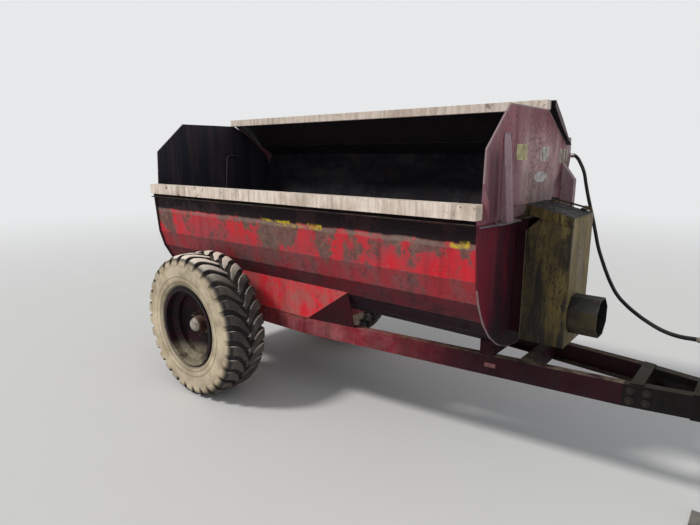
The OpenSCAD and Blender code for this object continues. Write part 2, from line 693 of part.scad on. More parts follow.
// Sprocket of n teeth whose tips run just inside the rollers, between the chain's side plates
module sprocket(n, r) {
    tip = r - roller_r - roller_gap;
    difference() {
        rod_x(sprocket_x, sprocket_x + sprocket_w, tip);
        for (i = [0 : n - 1]) rotate([(i + 0.5) * 360 / n, 0, 0]) translate([0, tip + 3, 0])
            rod_x(sprocket_x - eps, sprocket_x + sprocket_w + eps, roller_r);
    }
}

// Four-bolt flange bearing with its back at x0
module bearing(x0, dir, bore, z) {
    x1 = x0 + dir * 16;
    x2 = x0 + dir * bearing_w;
    difference() {
        union() {
            translate([min(x0, x1), -bearing_r, z - bearing_r]) cube([16, 2 * bearing_r, 2 * bearing_r]);
            translate([0, 0, z]) rod_x(min(x0, x2), max(x0, x2), bearing_r - 14);
        }
        translate([0, 0, z]) rod_x(min(x0, x2) - eps, max(x0, x2) + eps, bore + run_fit);
    }
}
input_shaft_r = 24;
root_r = spline_r - 2.6;
module bearings() {
    color(rust) at_plate() {
        bearing(-hull_l, -1, shaft_r, barrel_z);
        bearing(case_x0 + case_t, 1, shaft_r, barrel_z);
        bearing(case_x0 + case_t, 1, input_shaft_r, input_z);
        bearing(case_x1, 1, input_shaft_r, input_z);
    }
}

module bearing_box() {
    color(dark_red) at_plate() difference() {
        translate([0, case_y0 + 25, case_z0 + 35]) cube([case_x0, case_w - 50, ledge_z - case_z0 - 35]);
        translate([0, 0, barrel_z]) rod_x(-eps, case_x0 + eps, shaft_r + rotor_gap);
        translate([0, 0, input_z]) rod_x(case_x0 - 30, case_x0 + eps, input_shaft_r + rotor_gap);
    }
}

module case_side(x0, x1, z_in, notch) {
    polygon(concat([[x0, case_z0 + z_in], [x1, case_z0 + z_in], [x1, lid_z(x1)]],
        notch ? [[x0 + 84, lid_z(x0 + 84)], [x0 + 84, case_top - 75], [x0, case_top - 155]]
            : [[x0, lid_z(x0)]]));
}
// Hinge rod on its ears at the top of the case's far wall
module hinge_rod() {
    in_lid() {
        translate([4, hinge_y, hinge_z]) rotate([0, 90, 0]) cylinder(r = hinge_r, h = lid_l - 30, $fn = 48);
        for (x = [6, lid_l / 2 - 12, lid_l - 38])
            translate([x, case_w - 12, -30]) cube([8, 16, hinge_z + 30 + hinge_r + 3]);
    }
}
module chain_case() {
    color(olive) hinge_rod();
    color(olive) at_plate() difference() {
        union() {
            along_y(case_y0, case_y0 + case_t) case_side(case_x0, case_x1, 0, true);
            along_y(case_y1 - case_t, case_y1) case_side(case_x0, case_x1, 0, false);
            translate([case_x0, case_y0, case_z0]) cube([case_l, case_w, case_t]);
            translate([case_x0, case_y0, case_z0]) cube([case_t, case_w, case_top - 160 - case_z0]);
            intersection() {
                translate([case_x1 - case_t, case_y0, case_z0]) cube([case_t, case_w, case_top]);
                along_y(case_y0, case_y1) case_side(case_x0, case_x1, 0, false);
            }
        }
        translate([0, 0, barrel_z]) rod_x(case_x0 - eps, case_x0 + case_t + eps, shaft_r + rotor_gap);
        translate([0, 0, input_z]) rod_x(case_x0 - eps, case_x0 + case_t + eps, input_shaft_r + rotor_gap);
        translate([0, 0, input_z]) rod_x(case_x1 - case_t - eps, case_x1 + eps, input_shaft_r + rotor_gap);
    }
}

// The lid is drawn level about its rear near corner and then tilted
hinge_y = case_w - 4;
hinge_z = case_t + 14;
knuckle_r = hinge_r + 5;
knuckle_l = 30;
knuckles = [22, lid_l - 74];
module in_lid() {
    at_plate() translate([case_x0, case_y0, case_top]) rotate([0, lid_slope, 0]) children();
}
module case_lid() {
    color(slate) in_lid() {
        translate([-6, -case_t - 3, seat_gap]) cube([lid_l, case_w - 24, case_t]);
        translate([-6, -case_t - 3, seat_gap - skirt_h]) cube([lid_l, case_t, skirt_h]);
        // Arms up to the knuckles on the hinge rod
        for (x = knuckles) difference() {
            union() {
                translate([x, case_w - 75, seat_gap + case_t - eps])
                    cube([knuckle_l, hinge_y - case_w + 75, hinge_z - case_t]);
                translate([x, hinge_y, hinge_z]) rotate([0, 90, 0])
                    cylinder(r = knuckle_r, h = knuckle_l, $fn = 48);
            }
            translate([x - eps, hinge_y, hinge_z]) rotate([0, 90, 0])
                cylinder(r = hinge_r + run_fit, h = knuckle_l + 2 * eps, $fn = 48);
        }
    }
}
// Middles of the chain's rollers: up the right run, over the rotor's sprocket, down and under
big_n = teeth / 2 + 2;
small_n = teeth / 4;
big_step = 360 / teeth;
small_step = 720 / teeth;
function on_big(k) = let (a = 90 - (k - (big_n - 1) / 2) * big_step)
    [-sprocket_r * cos(a), barrel_z - input_z + sprocket_r * sin(a)];
function on_small(k) = let (a = -90 - (k - (small_n - 1) / 2) * small_step)
    [-input_r * cos(a), input_r * sin(a)];
function run(p, q) = let (n = round(norm(q - p) / chain_pitch)) [for (i = [1 : n - 1]) p + (q - p) * i / n];
chain_path = concat([for (k = [0 : big_n - 1]) on_big(k)], run(on_big(big_n - 1), on_small(0)),
    [for (k = [0 : small_n - 1]) on_small(k)], run(on_small(small_n - 1), on_big(0)));
// Waisted side plate between two rollers, one thickness of its end rounds and waist
plate_r = 11;
function plate_points(p, q) = let (d = (q - p) / norm(q - p), s = [-d[1], d[0]]) concat(
    [for (a = [90 : 30 : 270]) p + plate_r * (cos(a) * d + sin(a) * s)], [(p + q) / 2 - 8 * s],
    [for (a = [270 : 30 : 450]) q + plate_r * (cos(a) * d + sin(a) * s)], [(p + q) / 2 + 8 * s]);
module drive_chain() {
    n = len(chain_path);
    mid = sprocket_x + sprocket_w / 2;
    side_t = 3;
    color(steel) at_plate() translate([mid, 0, input_z]) for (i = [0 : n - 1]) {
        p = chain_path[i];
        in = sprocket_w / 2 + 0.9 + (i % 2) * (side_t + 0.2);
        translate([0, p[0], p[1]]) rod_x(-sprocket_w / 2 - 1.5, sprocket_w / 2 + 1.5, roller_r);
        translate([0, p[0], p[1]]) rod_x(-sprocket_w / 2 - 9, sprocket_w / 2 + 9, 4);
        for (x = [-in - side_t, in]) along_x(x, x + side_t) polygon(plate_points(p, chain_path[(i + 1) % n]));
    }
}

module octagon(w) { rotate(22.5) circle(d = w / cos(22.5), $fn = 8); }
module shaft_guard() {
    color(slate) at_plate() translate([0, 0, input_z]) along_x(case_x1, case_x1 + guard_l) difference() {
        octagon(guard_w);
        octagon(guard_w - 2 * case_t);
    }
}
module input_shaft() {
    x_end = case_x1 + bearing_w + 20 + spline_l;
    color(steel) at_plate() translate([0, 0, input_z]) {
        rod_x(case_x0 - 15, x_end - spline_l, input_shaft_r);
        sprocket(teeth / 2, input_r);
        difference() {
            rod_x(x_end - spline_l - eps, x_end, spline_r);
            // Grooves between the splines, cut as wedges down to the root
            along_x(x_end - spline_l + 8, x_end + eps) for (a = [0 : 60 : 300]) rotate(a)
                polygon([for (s = [[root_r, -1], [spline_r + 2, -1], [spline_r + 2, 1], [root_r, 1]])
                    let (h = 30 - asin(spline_w / 2 / s[0])) [s[0] * cos(h), s[1] * s[0] * sin(h)]]);
            // Ring groove for the lock of the drive shaft's yoke
            translate([x_end - 42, 0, 0]) rotate([0, 90, 0]) difference() {
                cylinder(r = spline_r + 2, h = 8, $fn = 48);
                translate([0, 0, -eps]) cylinder(r = root_r, h = 8 + 2 * eps, $fn = 48);
            }
        }
    }
}

jack_y = -chassis_y(jack_x) - 14 - jack_w / 2;
jack_travel = 300;
module jack_tube() {
    inner = jack_w - 2 * jack_wall;
    color(slate) at_plate() translate([jack_x, jack_y, 0]) {
        difference() {
            translate([-jack_w / 2, -jack_w / 2, jack_z0]) cube([jack_w, jack_w, jack_z1 - jack_z0]);
            translate([-inner / 2, -inner / 2, jack_z0 - eps])
                cube([inner, inner, jack_z1 - jack_z0 - 8 + eps]);
        }
        // Bracket to the drawbar beam, cut to the beam's slanting web
        intersection() {
            translate([-60, jack_w / 2, rail_z0 + 10]) cube([120, 60, rail_h - 20]);
            linear_extrude(rail_top_z) polygon([for (s = [[-60, 0], [60, 0], [60, 1], [-60, 1]])
                [s[0], s[1] > 0 ? -chassis_y(jack_x + s[0]) - jack_y - weld_gap : 0]]);
        }
        // Crank
        translate([0, 0, jack_z1]) cylinder(r = 9, h = 30, $fn = 24);
        translate([-10, -120, jack_z1 + 30]) cube([20, 130, 8]);
        translate([0, -110, jack_z1 + 38]) cylinder(r = 10, h = 90, $fn = 24);
    }
}
module jack_leg() {
    w = jack_w - 2 * jack_wall - 2 * jack_play;
    top = jack_z1 - 20 - jack_travel;
    color(steel) at_plate() translate([jack_x, jack_y, 0]) difference() {
        union() {
            translate([-w / 2, -w / 2, 8]) cube([w, w, top - 8]);
            translate([-foot_w / 2, -foot_w / 2, 0]) cube([foot_w, foot_w, 8]);
        }
        translate([-w / 2 + jack_wall, -w / 2 + jack_wall, 20])
            cube([w - 2 * jack_wall, w - 2 * jack_wall, top]);
    }
}

reflector_x = -36;
module reflectors() {
    for (far = [false, true]) color("salmon") at_plate() mirror_far(far)
        translate([reflector_x, -chassis_y(reflector_x), rail_z0 + 70])
            rotate([0, 0, atan(bend_slope)]) translate([-35, -4.5, -14]) cube([70, 4, 28]);
}

// Hose from the far side sheet to the holder on the drawbar, points in mm from the front plate
hose_d = 25;
hose_route = [[-20, 900, 1944], [12, 900, 1944], [39, 895, 1925], [67, 882, 1888], [104, 860, 1824],
    [135, 826, 1738], [166, 793, 1654], [199, 761, 1570], [231, 732, 1490], [264, 701, 1400],
    [299, 668, 1306], [340, 635, 1223], [380, 602, 1152], [428, 560, 1082], [486, 500, 1024],
    [555, 432, 986], [640, 350, 956], [731, 264, 936], [820, 180, 928], [910, 104, 936],
    [985, 48, 954], [1040, 10, 966]];
function ring_at(i) = let (n = len(hose_route),
        a = hose_route[max(i - 1, 0)], b = hose_route[min(i + 1, n - 1)],
        t = (b - a) / norm(b - a), s = cross([0, 0, 1], t), u = s / norm(s), v = cross(t, u))
    [for (k = [0 : 7]) hose_route[i] + hose_d / 2 * (cos(45 * k) * u + sin(45 * k) * v)];
module hose() {
    n = len(hose_route);
    color(black) at_plate() polyhedron(
        points = [for (i = [0 : n - 1]) each ring_at(i)],
        faces = concat([[for (k = [7 : -1 : 0]) k]],
            [for (i = [0 : n - 2], k = [0 : 7]) let (m = (k + 1) % 8)
                [i * 8 + k, i * 8 + m, i * 8 + 8 + m, i * 8 + 8 + k]],
            [[for (k = [0 : 7]) (n - 1) * 8 + k]]));
}
// Block on the far side sheet that the hose screws into
module hose_fitting() {
    p = hose_route[0];
    h = hose_d / 2 + 4;
    color(steel) at_plate() difference() {
        translate([p[0] - 34, far_side_y(p[2] - h), p[2] - h])
            cube([34, p[1] - far_side_y(p[2] - h) + h, 2 * h]);
        along_x(-hull_l, 0) polygon([[fold_y - sheet_t, fold_z], [fold_y, fold_z],
            [far_shoulder_y, far_top_z], [far_shoulder_y - 200, far_top_z]]);
    }
}

// Turns +X to the direction in which the hose ends
hose_end = hose_route[len(hose_route) - 1];
end_dir = hose_end - hose_route[len(hose_route) - 2];
coupler_r = 16;
coupler_l = 62;
module at_hose_end() {
    at_plate() translate(hose_end)
        rotate([0, -asin(end_dir[2] / norm(end_dir)), atan2(end_dir[1], end_dir[0])]) children();
}
module hose_coupler() { color(steel) at_hose_end() rod_x(0, coupler_l, coupler_r); }
module hose_holder() {
    mid = hose_end + end_dir / norm(end_dir) * coupler_l / 2;
    foot_z = rail_top_z + rail_t;
    color(rust) {
        at_plate() translate([mid[0] - 4, mid[1] - 20, foot_z])
            cube([8, 40, mid[2] - coupler_r - 8 - foot_z]);
        at_hose_end() translate([10, -coupler_r - 8, -coupler_r - seat_gap - 8])
            cube([coupler_l - 20, 2 * coupler_r + 16, 8]);
        for (side = [-coupler_r - 8, coupler_r + 2]) at_hose_end()
            translate([10, side, -coupler_r - seat_gap - 8]) cube([coupler_l - 20, 6, coupler_r + 8]);
    }
}

front_plate();
rear_plate();
side_near();
floor_barrel();
side_far();
hood_far();
rail_top_near();
rail_top_far();
ribs_front();
ribs_rear();
ledge_front();
chassis_rail_near();
chassis_rail_far();
drawbar_beam_near();
drawbar_beam_far();
drawbar_nose();
cross_member_rear();
cross_member_bend();
cross_member_front();
cross_member_head();
bolster_rear();
bolster_front();
saddle_near();
saddle_far();
axle_beam();
hub_near();
rim_near();
tyre_near();
hub_far();
rim_far();
tyre_far();
rotor();
bearings();
bearing_box();
chain_case();
case_lid();
drive_chain();
shaft_guard();
input_shaft();
jack_tube();
jack_leg();
reflectors();
hose_holder();
hose_fitting();
hose();
hose_coupler();
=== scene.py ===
"""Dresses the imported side-discharge manure spreader: worn finishes, lugged tyres, bolts and welds."""

import math
import random

import bpy
from mathutils import Matrix, Vector


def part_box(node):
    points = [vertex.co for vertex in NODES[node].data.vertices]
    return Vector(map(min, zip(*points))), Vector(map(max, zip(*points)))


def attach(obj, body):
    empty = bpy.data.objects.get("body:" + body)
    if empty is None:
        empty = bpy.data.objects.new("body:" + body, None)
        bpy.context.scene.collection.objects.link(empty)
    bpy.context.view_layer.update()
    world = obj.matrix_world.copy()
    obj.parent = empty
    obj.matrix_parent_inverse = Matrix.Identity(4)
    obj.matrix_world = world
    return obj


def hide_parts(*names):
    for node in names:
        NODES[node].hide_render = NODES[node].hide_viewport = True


bl_info = {
    "name": "Manure Spreader Dressing",
    "version": (1, 0, 0),
    "blender": (4, 5, 0),
    "location": "View3D > Sidebar > Spreader",
    "description": "Worn finishes and small parts for a towed side-discharge manure spreader",
    "category": "Object",
}

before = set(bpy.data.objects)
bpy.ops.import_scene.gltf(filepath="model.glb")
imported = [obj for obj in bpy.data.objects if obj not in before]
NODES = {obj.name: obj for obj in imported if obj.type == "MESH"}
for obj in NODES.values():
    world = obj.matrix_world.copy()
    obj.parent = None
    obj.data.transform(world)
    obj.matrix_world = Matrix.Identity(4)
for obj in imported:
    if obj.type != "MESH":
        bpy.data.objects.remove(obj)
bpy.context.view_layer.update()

# Places in metres. The front face of the front end plate is the plane x = FRONT.
REAR, FRONT = (corner.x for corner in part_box("rail_top_near"))
BARREL_Z, BARREL_R = 1.345, 0.620
# Turn in degrees to the first fold below the barrel's axis, and from fold to fold
FOLD_START = 9.3
FOLD_STEP = (180 - 2 * FOLD_START) / 12
PLATE_TOP, LEDGE_Z = 2.245, 1.575
# Height of the input shaft, and the plane of the case's front
INPUT_Z, CASE_FRONT = 0.993, 0.3485
AXLE = Vector((FRONT - 2.328, 0.0, 0.588))
WHEEL_Y = 0.848
# Sides that taper towards the hitch: start, half width there, how far they come in, and on what run
RAIL_TAPER = (-1.478, 0.484, 0.270, 2.188)
BEAM_TAPER = (0.710, 0.214, 0.138, 0.650)
# The camera's yaw, pitch and roll in degrees, its place from the front end plate and its lens
VIEW_TURN = (129.6478, -11.9871, -0.1856)
VIEW_PLACE = (1.2420, -3.24271, 1.96666)
VIEW_LENS = 26.5
BACKDROP = (0.80, 0.81, 0.82)
SKY_LIGHT, SKY_POWER = (0.93, 0.96, 1.0), 0.42
# Sun lamps: name, direction, strength, spread in degrees and colour
LAMPS = (("key", (0.50, 0.62, -0.90), 1.95, 10, (1.0, 0.975, 0.94)),
         ("fill", (-0.9, 0.35, -0.45), 0.30, 60, (0.92, 0.96, 1.0)))
# How far a label stands off its plate
LABEL_GAP = 0.0002


def rgb(red, green, blue):
    """A colour written as on screen, turned to the values that a shader takes."""
    return tuple(c / 3294.6 if c <= 10 else ((c / 255 + 0.055) / 1.055) ** 2.4
                 for c in (red, green, blue))


def at(x, y, z):
    """A point measured from the front end plate, in the frame."""
    return Vector((FRONT + x, y, z))


# Values that a user may change


def colour(name, description, value):
    return bpy.props.FloatVectorProperty(name=name, description=description, default=value,
                                         subtype="COLOR", size=3, min=0.0, max=1.0)


def length(name, description, value):
    return bpy.props.FloatProperty(name=name, description=description, default=value,
                                   unit="LENGTH", min=0.0)


class SpreaderColours(bpy.types.PropertyGroup):
    """Colours of the paints and the dirt"""
    hull_red: colour("Hull red", "Bright paint on the side of the barrel", rgb(216, 34, 48))
    dark_red: colour("Dark red", "Paint of the chassis", rgb(138, 40, 52))
    plum: colour("Plum", "Faded paint of the end plates", rgb(128, 100, 108))
    beige: colour("Beige", "Paint of the near top rail", rgb(243, 228, 214))
    olive: colour("Olive", "Oily paint of the chain case", rgb(104, 89, 50))
    slate: colour("Slate", "Paint that shows on the lid", rgb(44, 47, 58))
    primer: colour("Primer", "Gray brown ground under the red paint", rgb(124, 106, 94))
    rust: colour("Rust", "Rusted steel", rgb(98, 62, 44))
    steel: colour("Steel", "Bare steel", rgb(140, 138, 134))
    rubber: colour("Rubber", "Clean rubber of the tyres", rgb(46, 45, 47))
    dust: colour("Dust", "Dry dust", rgb(176, 164, 136))
    grime: colour("Grime", "Wet dirt and oil", rgb(26, 22, 24))


class SpreaderSizes(bpy.types.PropertyGroup):
    """Sizes of the small parts"""
    lug_rows: bpy.props.IntProperty(name="Lugs a side", description="Lugs on each side of a tyre",
                                    default=30, min=20, max=40)
    bolt: length("Bolt", "Width of a bolt head across its flats", 0.024)
    nut: length("Wheel nut", "Width of a wheel nut across its flats", 0.027)
    weld: length("Weld", "Radius of a weld bead", 0.0045)
    label: length("Label", "Thickness of a label", 0.0012)
    hose: length("Hose", "Outer diameter of the hydraulic hose", 0.025)


def colours():
    return bpy.context.scene.spreader_colours


def sizes():
    return bpy.context.scene.spreader_sizes


# Shader sums


def sum_on(operation, swapped=False):
    """One of Num's operators, which adds a Math node."""
    def run(self, *other):
        return self.nodes.math(operation, *((*other, self) if swapped else (self, *other)))
    return run


class Num:
    """One socket of a node tree. Sums written on it in Python add the Math nodes."""

    def __init__(self, nodes, socket):
        self.nodes, self.socket = nodes, socket

    __add__, __radd__ = sum_on("ADD"), sum_on("ADD", True)
    __sub__, __rsub__ = sum_on("SUBTRACT"), sum_on("SUBTRACT", True)
    __mul__, __rmul__ = sum_on("MULTIPLY"), sum_on("MULTIPLY", True)
    __truediv__ = sum_on("DIVIDE")
    __abs__ = sum_on("ABSOLUTE")

    def __neg__(self):
        return self * -1.0


class Nodes:
    """A node tree under construction."""

    def __init__(self, tree):
        self.tree = tree

    def node(self, kind, settings=None, inputs=None, output=0):
        """Adds a node with its settings and the values or links of its sockets, and gives an output."""
        added = self.tree.nodes.new(kind)
        for name, value in (settings or {}).items():
            setattr(added, name, value)
        for key, value in (inputs or {}).items():
            self.fill(added.inputs[key], value)
        return Num(self, added.outputs[output])

    def fill(self, socket, value):
        if isinstance(value, Num):
            self.tree.links.new(value.socket, socket)
        elif socket.type == "RGBA":
            socket.default_value = (*value[:3], 1.0)
        else:
            socket.default_value = value

    def math(self, operation, *values):
        return self.node("ShaderNodeMath", {"operation": operation}, dict(enumerate(values)))

    def chained(self, operation, first, *others):
        for value in others:
            first = self.math(operation, first, value)
        return first

    def most(self, *values):
        return self.chained("MAXIMUM", *values)

    def least(self, *values):
        return self.chained("MINIMUM", *values)


class Paint(Nodes):
    """A finish under construction: its nodes, its Principled shader and the coat laid so far."""

    def __init__(self, name):
        self.material = bpy.data.materials.new(name)
        self.material.use_nodes = True
        super().__init__(self.material.node_tree)
        self.skin = self.tree.nodes["Principled BSDF"].inputs
        self.place = self.node("ShaderNodeTexCoord", output="Object")
        self.x, self.y, self.z = self.split(self.place)
        self.nx, self.ny, self.nz = self.split(self.node("ShaderNodeTexCoord", output="Normal"))

    def split(self, vector):
        """The three parts of a vector."""
        parts = self.node("ShaderNodeSeparateXYZ", inputs={0: vector}).socket.node
        return [Num(self, part) for part in parts.outputs]

    def step(self, value, low, high):
        """0 at low and 1 at high, with a smooth change between them."""
        return self.node("ShaderNodeMapRange", {"interpolation_type": "SMOOTHSTEP"},
                         {"Value": value, "From Min": low, "From Max": high})

    def band(self, value, middle, half, soft):
        """1 within half of the middle, falling to 0 over soft."""
        return 1 - self.step(abs(value - middle), half, half + soft)

    def outward(self, height):
        """Above 0 on the outside and below 0 on the inside of a round form with its axis at a height."""
        return self.ny * self.y + self.nz * (self.z - height)

    def stretched(self, stretch, shift):
        """The place for a pattern, stretched by three numbers, or in height by one, and shifted."""
        if isinstance(stretch, float):
            stretch = (1.0, 1.0, stretch)
        return self.node("ShaderNodeMapping", inputs={"Vector": self.place, "Scale": stretch,
                                                      "Location": (shift, shift * 1.7, shift * 0.6)})

    def noise(self, scale, detail, rough, stretch=1.0, shift=0.0):
        return self.node("ShaderNodeTexNoise", inputs={"Vector": self.stretched(stretch, shift),
                                                       "Scale": scale, "Detail": detail,
                                                       "Roughness": rough})

    def cells(self, scale, shift=0.0):
        return self.node("ShaderNodeTexVoronoi", output="Distance",
                         inputs={"Vector": self.stretched(1.0, shift), "Scale": scale})

    def mix(self, factor, first, second):
        """first where the factor is 0, second where it is 1."""
        return self.node("ShaderNodeMix", {"data_type": "RGBA"}, {0: factor, 6: first, 7: second}, 2)

    def lay(self, factor, colour):
        """Lays a colour over the coat, as thickly as the factor says."""
        self.coat = self.mix(factor, self.coat, colour)

    def done(self, rough, bump=None, depth=0.002, metal=0.0, shine=0.3, edge=0.0025):
        """Joins the coat, the roughness and the relief to the shader."""
        for name, value in (("Base Color", self.coat), ("Roughness", rough), ("Metallic", metal),
                            ("Specular IOR Level", shine)):
            self.fill(self.skin[name], value)
        if bump is not None:
            inputs = {"Strength": 1.0, "Distance": depth, "Height": bump}
            if edge:
                inputs["Normal"] = self.node("ShaderNodeBevel", {"samples": 4}, {"Radius": edge})
            self.fill(self.skin["Normal"], self.node("ShaderNodeBump", inputs=inputs))
        return self.material


def dirty(p, dust, grime, seed, low=0.75):
    """Dust on what faces up, and wet dirt in runs and, below a height, thicker towards the ground."""
    c = colours()
    cloud = p.noise(5.5, 5.0, 0.65, shift=seed)
    runs = p.noise(9.0, 4.0, 0.6, 0.13, seed + 4.0)
    wet = p.step(runs * 0.6 + cloud * 0.4 + p.step(low - p.z, -0.25, 0.55) * 0.22, 0.52, 0.72)
    p.lay(wet * grime, c.grime)
    lying = p.step(p.nz, 0.35, 0.95) * p.step(p.noise(14.0, 4.0, 0.6, shift=seed + 9.0), 0.28, 0.68)
    p.lay(lying * dust, c.dust)
    return wet, lying


def worn_paint(name, coat, bare, patchy, size, chips, dust=0.35, grime=0.4, gloss=0.5, seed=0.0,
               streak=0.35, under=None, ends=0.0, inner=0.0, ahead=0.0, shine=0.3):
    """Old paint: faded in clouds, chipped to the ground, streaked by rain and dirty.

    ends lays painted shade on what faces forwards, ahead the painted shadow of the hull on what lies near
    the front, and inner stains and painted shade, near black, on the inside of the barrel.
    """
    p = Paint(name)
    c = colours()
    cloud = p.noise(size, 5.0, 0.62, shift=seed)
    fine = p.noise(42.0, 5.0, 0.7, shift=seed + 2.0)
    rain = p.noise(13.0, 4.0, 0.6, 0.09, seed + 5.0)
    p.coat = p.mix(p.step(cloud * 0.7 + fine * 0.3, 0.38, 0.64), coat, under or bare)
    p.lay(p.step(cloud, 0.3, 0.7) * (1 - patchy), coat)
    p.lay(p.step(rain, 0.5, 0.72) * streak, bare)
    flakes = p.step(fine * 0.55 + p.noise(8.0, 4.0, 0.7, shift=seed + 7.0) * 0.45, 0.585, 0.62) * chips
    p.lay(flakes, c.rust)
    specks = (1 - p.step(p.cells(55.0, shift=seed), 0.08, 0.16)) * p.step(cloud, 0.45, 0.6) * chips
    p.lay(specks * 0.8, c.rust)
    # Painted shade on the faces that look forwards
    p.lay(p.step(p.nx, 0.05, 0.12) * ends, rgb(22, 6, 16))
    # Painted shadow of the hull on what lies near the front
    front_shadow = p.mix(cloud, rgb(10, 4, 12), rgb(34, 10, 20))
    p.lay(p.step(p.x, FRONT - 1.1, FRONT - 0.1) * ahead, front_shadow)
    # Painted shade on the inside of the barrel, near black and streaked with stains
    load_side = p.step(-p.outward(BARREL_Z), 0.0, 0.05)
    p.lay(load_side * inner, p.mix(rain, rgb(20, 21, 29), rgb(46, 40, 42)))
    wet, lying = dirty(p, dust, grime, seed)
    rough = gloss + fine * 0.25 + flakes * 0.25 + lying * 0.2 - wet * 0.12
    return p.done(rough, fine * 0.35 + (1 - flakes) * 0.5 + cloud * 0.4, 0.0016, shine=shine)


# Finishes of the hull


def fold_line(p):
    """1 along the folds of the barrel, and the number of folds passed below its axis."""
    width = 0.007
    turn = p.math("ARCTAN2", BARREL_Z - p.z, abs(p.y)) * (180 / math.pi)
    count = (turn - FOLD_START) / FOLD_STEP
    near = abs(count - p.math("ROUND", count)) * (math.radians(FOLD_STEP) * BARREL_R)
    return (1 - p.step(near, width * 0.35, width)) * p.step(count, -0.3, -0.1), count


def hull_paint():
    """Red side of the barrel: bright above, worn to gray in hanging patches, dark below and under the
    flange as painted shade, black inside from stains and painted shade.
    """
    p = Paint("hull_paint")
    c = colours()
    cloud = p.noise(2.1, 5.0, 0.6, shift=3.0)
    ragged = p.noise(7.5, 7.0, 0.7, (0.8, 1.0, 0.45), 1.3)
    fine = p.noise(48.0, 6.0, 0.72, shift=2.0)
    rain = p.noise(15.0, 4.0, 0.6, 0.07, 8.0)
    line, count = fold_line(p)
    red = p.mix(p.step(cloud * 0.5 + ragged * 0.5, 0.38, 0.62), c.hull_red, rgb(166, 70, 76))
    # Gray ground shows in patches that hang down from the upper part of the side
    hang = p.step(p.z, 1.20, 1.46) * 0.06 + p.step(cloud, 0.4, 0.6) * 0.03
    grain = p.noise(24.0, 6.0, 0.75, shift=21.0)
    bald = p.step(p.noise(3.1, 5.0, 0.66, 0.7, 11.0) * 0.46 + ragged * 0.30 + grain * 0.16
                  + fine * 0.08 + hang, 0.545, 0.575)
    ground = p.mix(p.step(grain, 0.35, 0.65), c.primer, rgb(88, 76, 70))
    ground = p.mix(p.step(ragged, 0.46, 0.62) * 0.5, ground, rgb(122, 70, 70))
    p.coat = p.mix(bald * 0.92, red, ground)
    flecks = p.step(grain * 0.6 + fine * 0.4, 0.57, 0.61) * (1 - bald)
    p.lay(flecks * 0.65, rgb(140, 112, 106))
    # Below the first fold brown red, partly grime and partly painted shade; below the second fold dark
    # red and below the third near black, as painted shade on facets that turn down
    low = p.step(count, -0.03, 0.03)
    brown = p.mix(p.step(ragged * 0.6 + cloud * 0.4, 0.42, 0.6), rgb(142, 52, 58), rgb(112, 80, 80))
    p.lay(low * 0.8, brown)
    p.lay(p.step(count, 0.97, 1.03) * 0.72, p.mix(ragged, rgb(70, 16, 28), rgb(52, 22, 32)))
    p.lay(p.step(count, 1.97, 2.05) * 0.92, rgb(20, 8, 20))
    p.lay(p.step(rain, 0.5, 0.75) * 0.3, rgb(52, 24, 30))
    soiled = p.step(fine * 0.5 + p.noise(26.0, 5.0, 0.7, shift=16.0) * 0.5, 0.5, 0.62)
    p.lay(soiled * (0.16 + low * 0.25), rgb(44, 26, 28))
    p.lay(line * p.step(fine + ragged * 0.5, 0.72, 0.9) * 0.3, rgb(150, 118, 114))
    # Painted shadow of the flange: a dark band under it, and the worn gray line under that
    edge = p.z + (ragged - 0.5) * 0.035
    lip = p.step(-p.y, 0.55, 0.58)
    p.lay(p.step(edge, 1.462, 1.474) * lip * 0.97, p.mix(ragged, rgb(8, 4, 10), rgb(22, 8, 16)))
    pale = p.band(edge, 1.447, 0.008, 0.012) * lip * p.step(fine + cloud, 0.8, 1.05)
    p.lay(pale * 0.45, rgb(150, 134, 124))
    chips = p.step(fine * 0.6 + ragged * 0.4, 0.595, 0.63)
    p.lay(chips * 0.6, rgb(70, 46, 42))
    # Last of the yellow paint marks, rubbed to shapeless dabs
    marks = p.most(p.band(p.x, FRONT - 1.50, 0.31, 0.02), p.band(p.x, FRONT - 0.116, 0.05, 0.02))
    dabs = p.noise(9.0, 2.0, 0.5, 0.5, 6.0)
    foot = p.band(edge + dabs * 0.03, 1.474, 0.014, 0.012)
    rubbed = p.step(p.noise(16.0, 5.0, 0.7, (0.7, 1.0, 1.0), 9.0) + fine * 0.3, 0.56, 0.78)
    p.lay(marks * lip * foot * rubbed * 0.9, rgb(206, 180, 48))
    dirty(p, 0.3, 0.35, 2.0, 1.0)
    # Inside the barrel the steel is bare, scoured and stained, and painted almost black as shade
    inside = p.step(-p.outward(BARREL_Z), 0.0, 0.05)
    scour = p.noise(5.0, 5.0, 0.65, (0.35, 1.0, 1.0), 12.0)
    dark = p.mix(p.step(scour, 0.35, 0.7), rgb(22, 23, 31), rgb(44, 41, 44))
    stain = p.noise(11.0, 4.0, 0.6, (0.5, 1.0, 0.3), 14.0)
    dark = p.mix(p.step(stain, 0.56, 0.7) * 0.45, dark, rgb(62, 42, 36))
    dark = p.mix(p.step(1.15 - p.z, 0.0, 0.35) * p.step(cloud, 0.3, 0.6) * 0.6, dark, rgb(50, 40, 28))
    p.lay(inside, dark)
    rough = 0.44 + fine * 0.2 + bald * 0.22 + low * 0.12 + inside * 0.15
    relief = fine * 0.3 + (1 - bald) * 0.35 + (1 - chips) * 0.3 + cloud * 0.6
    return p.done(rough, relief, 0.002, shine=0.18)


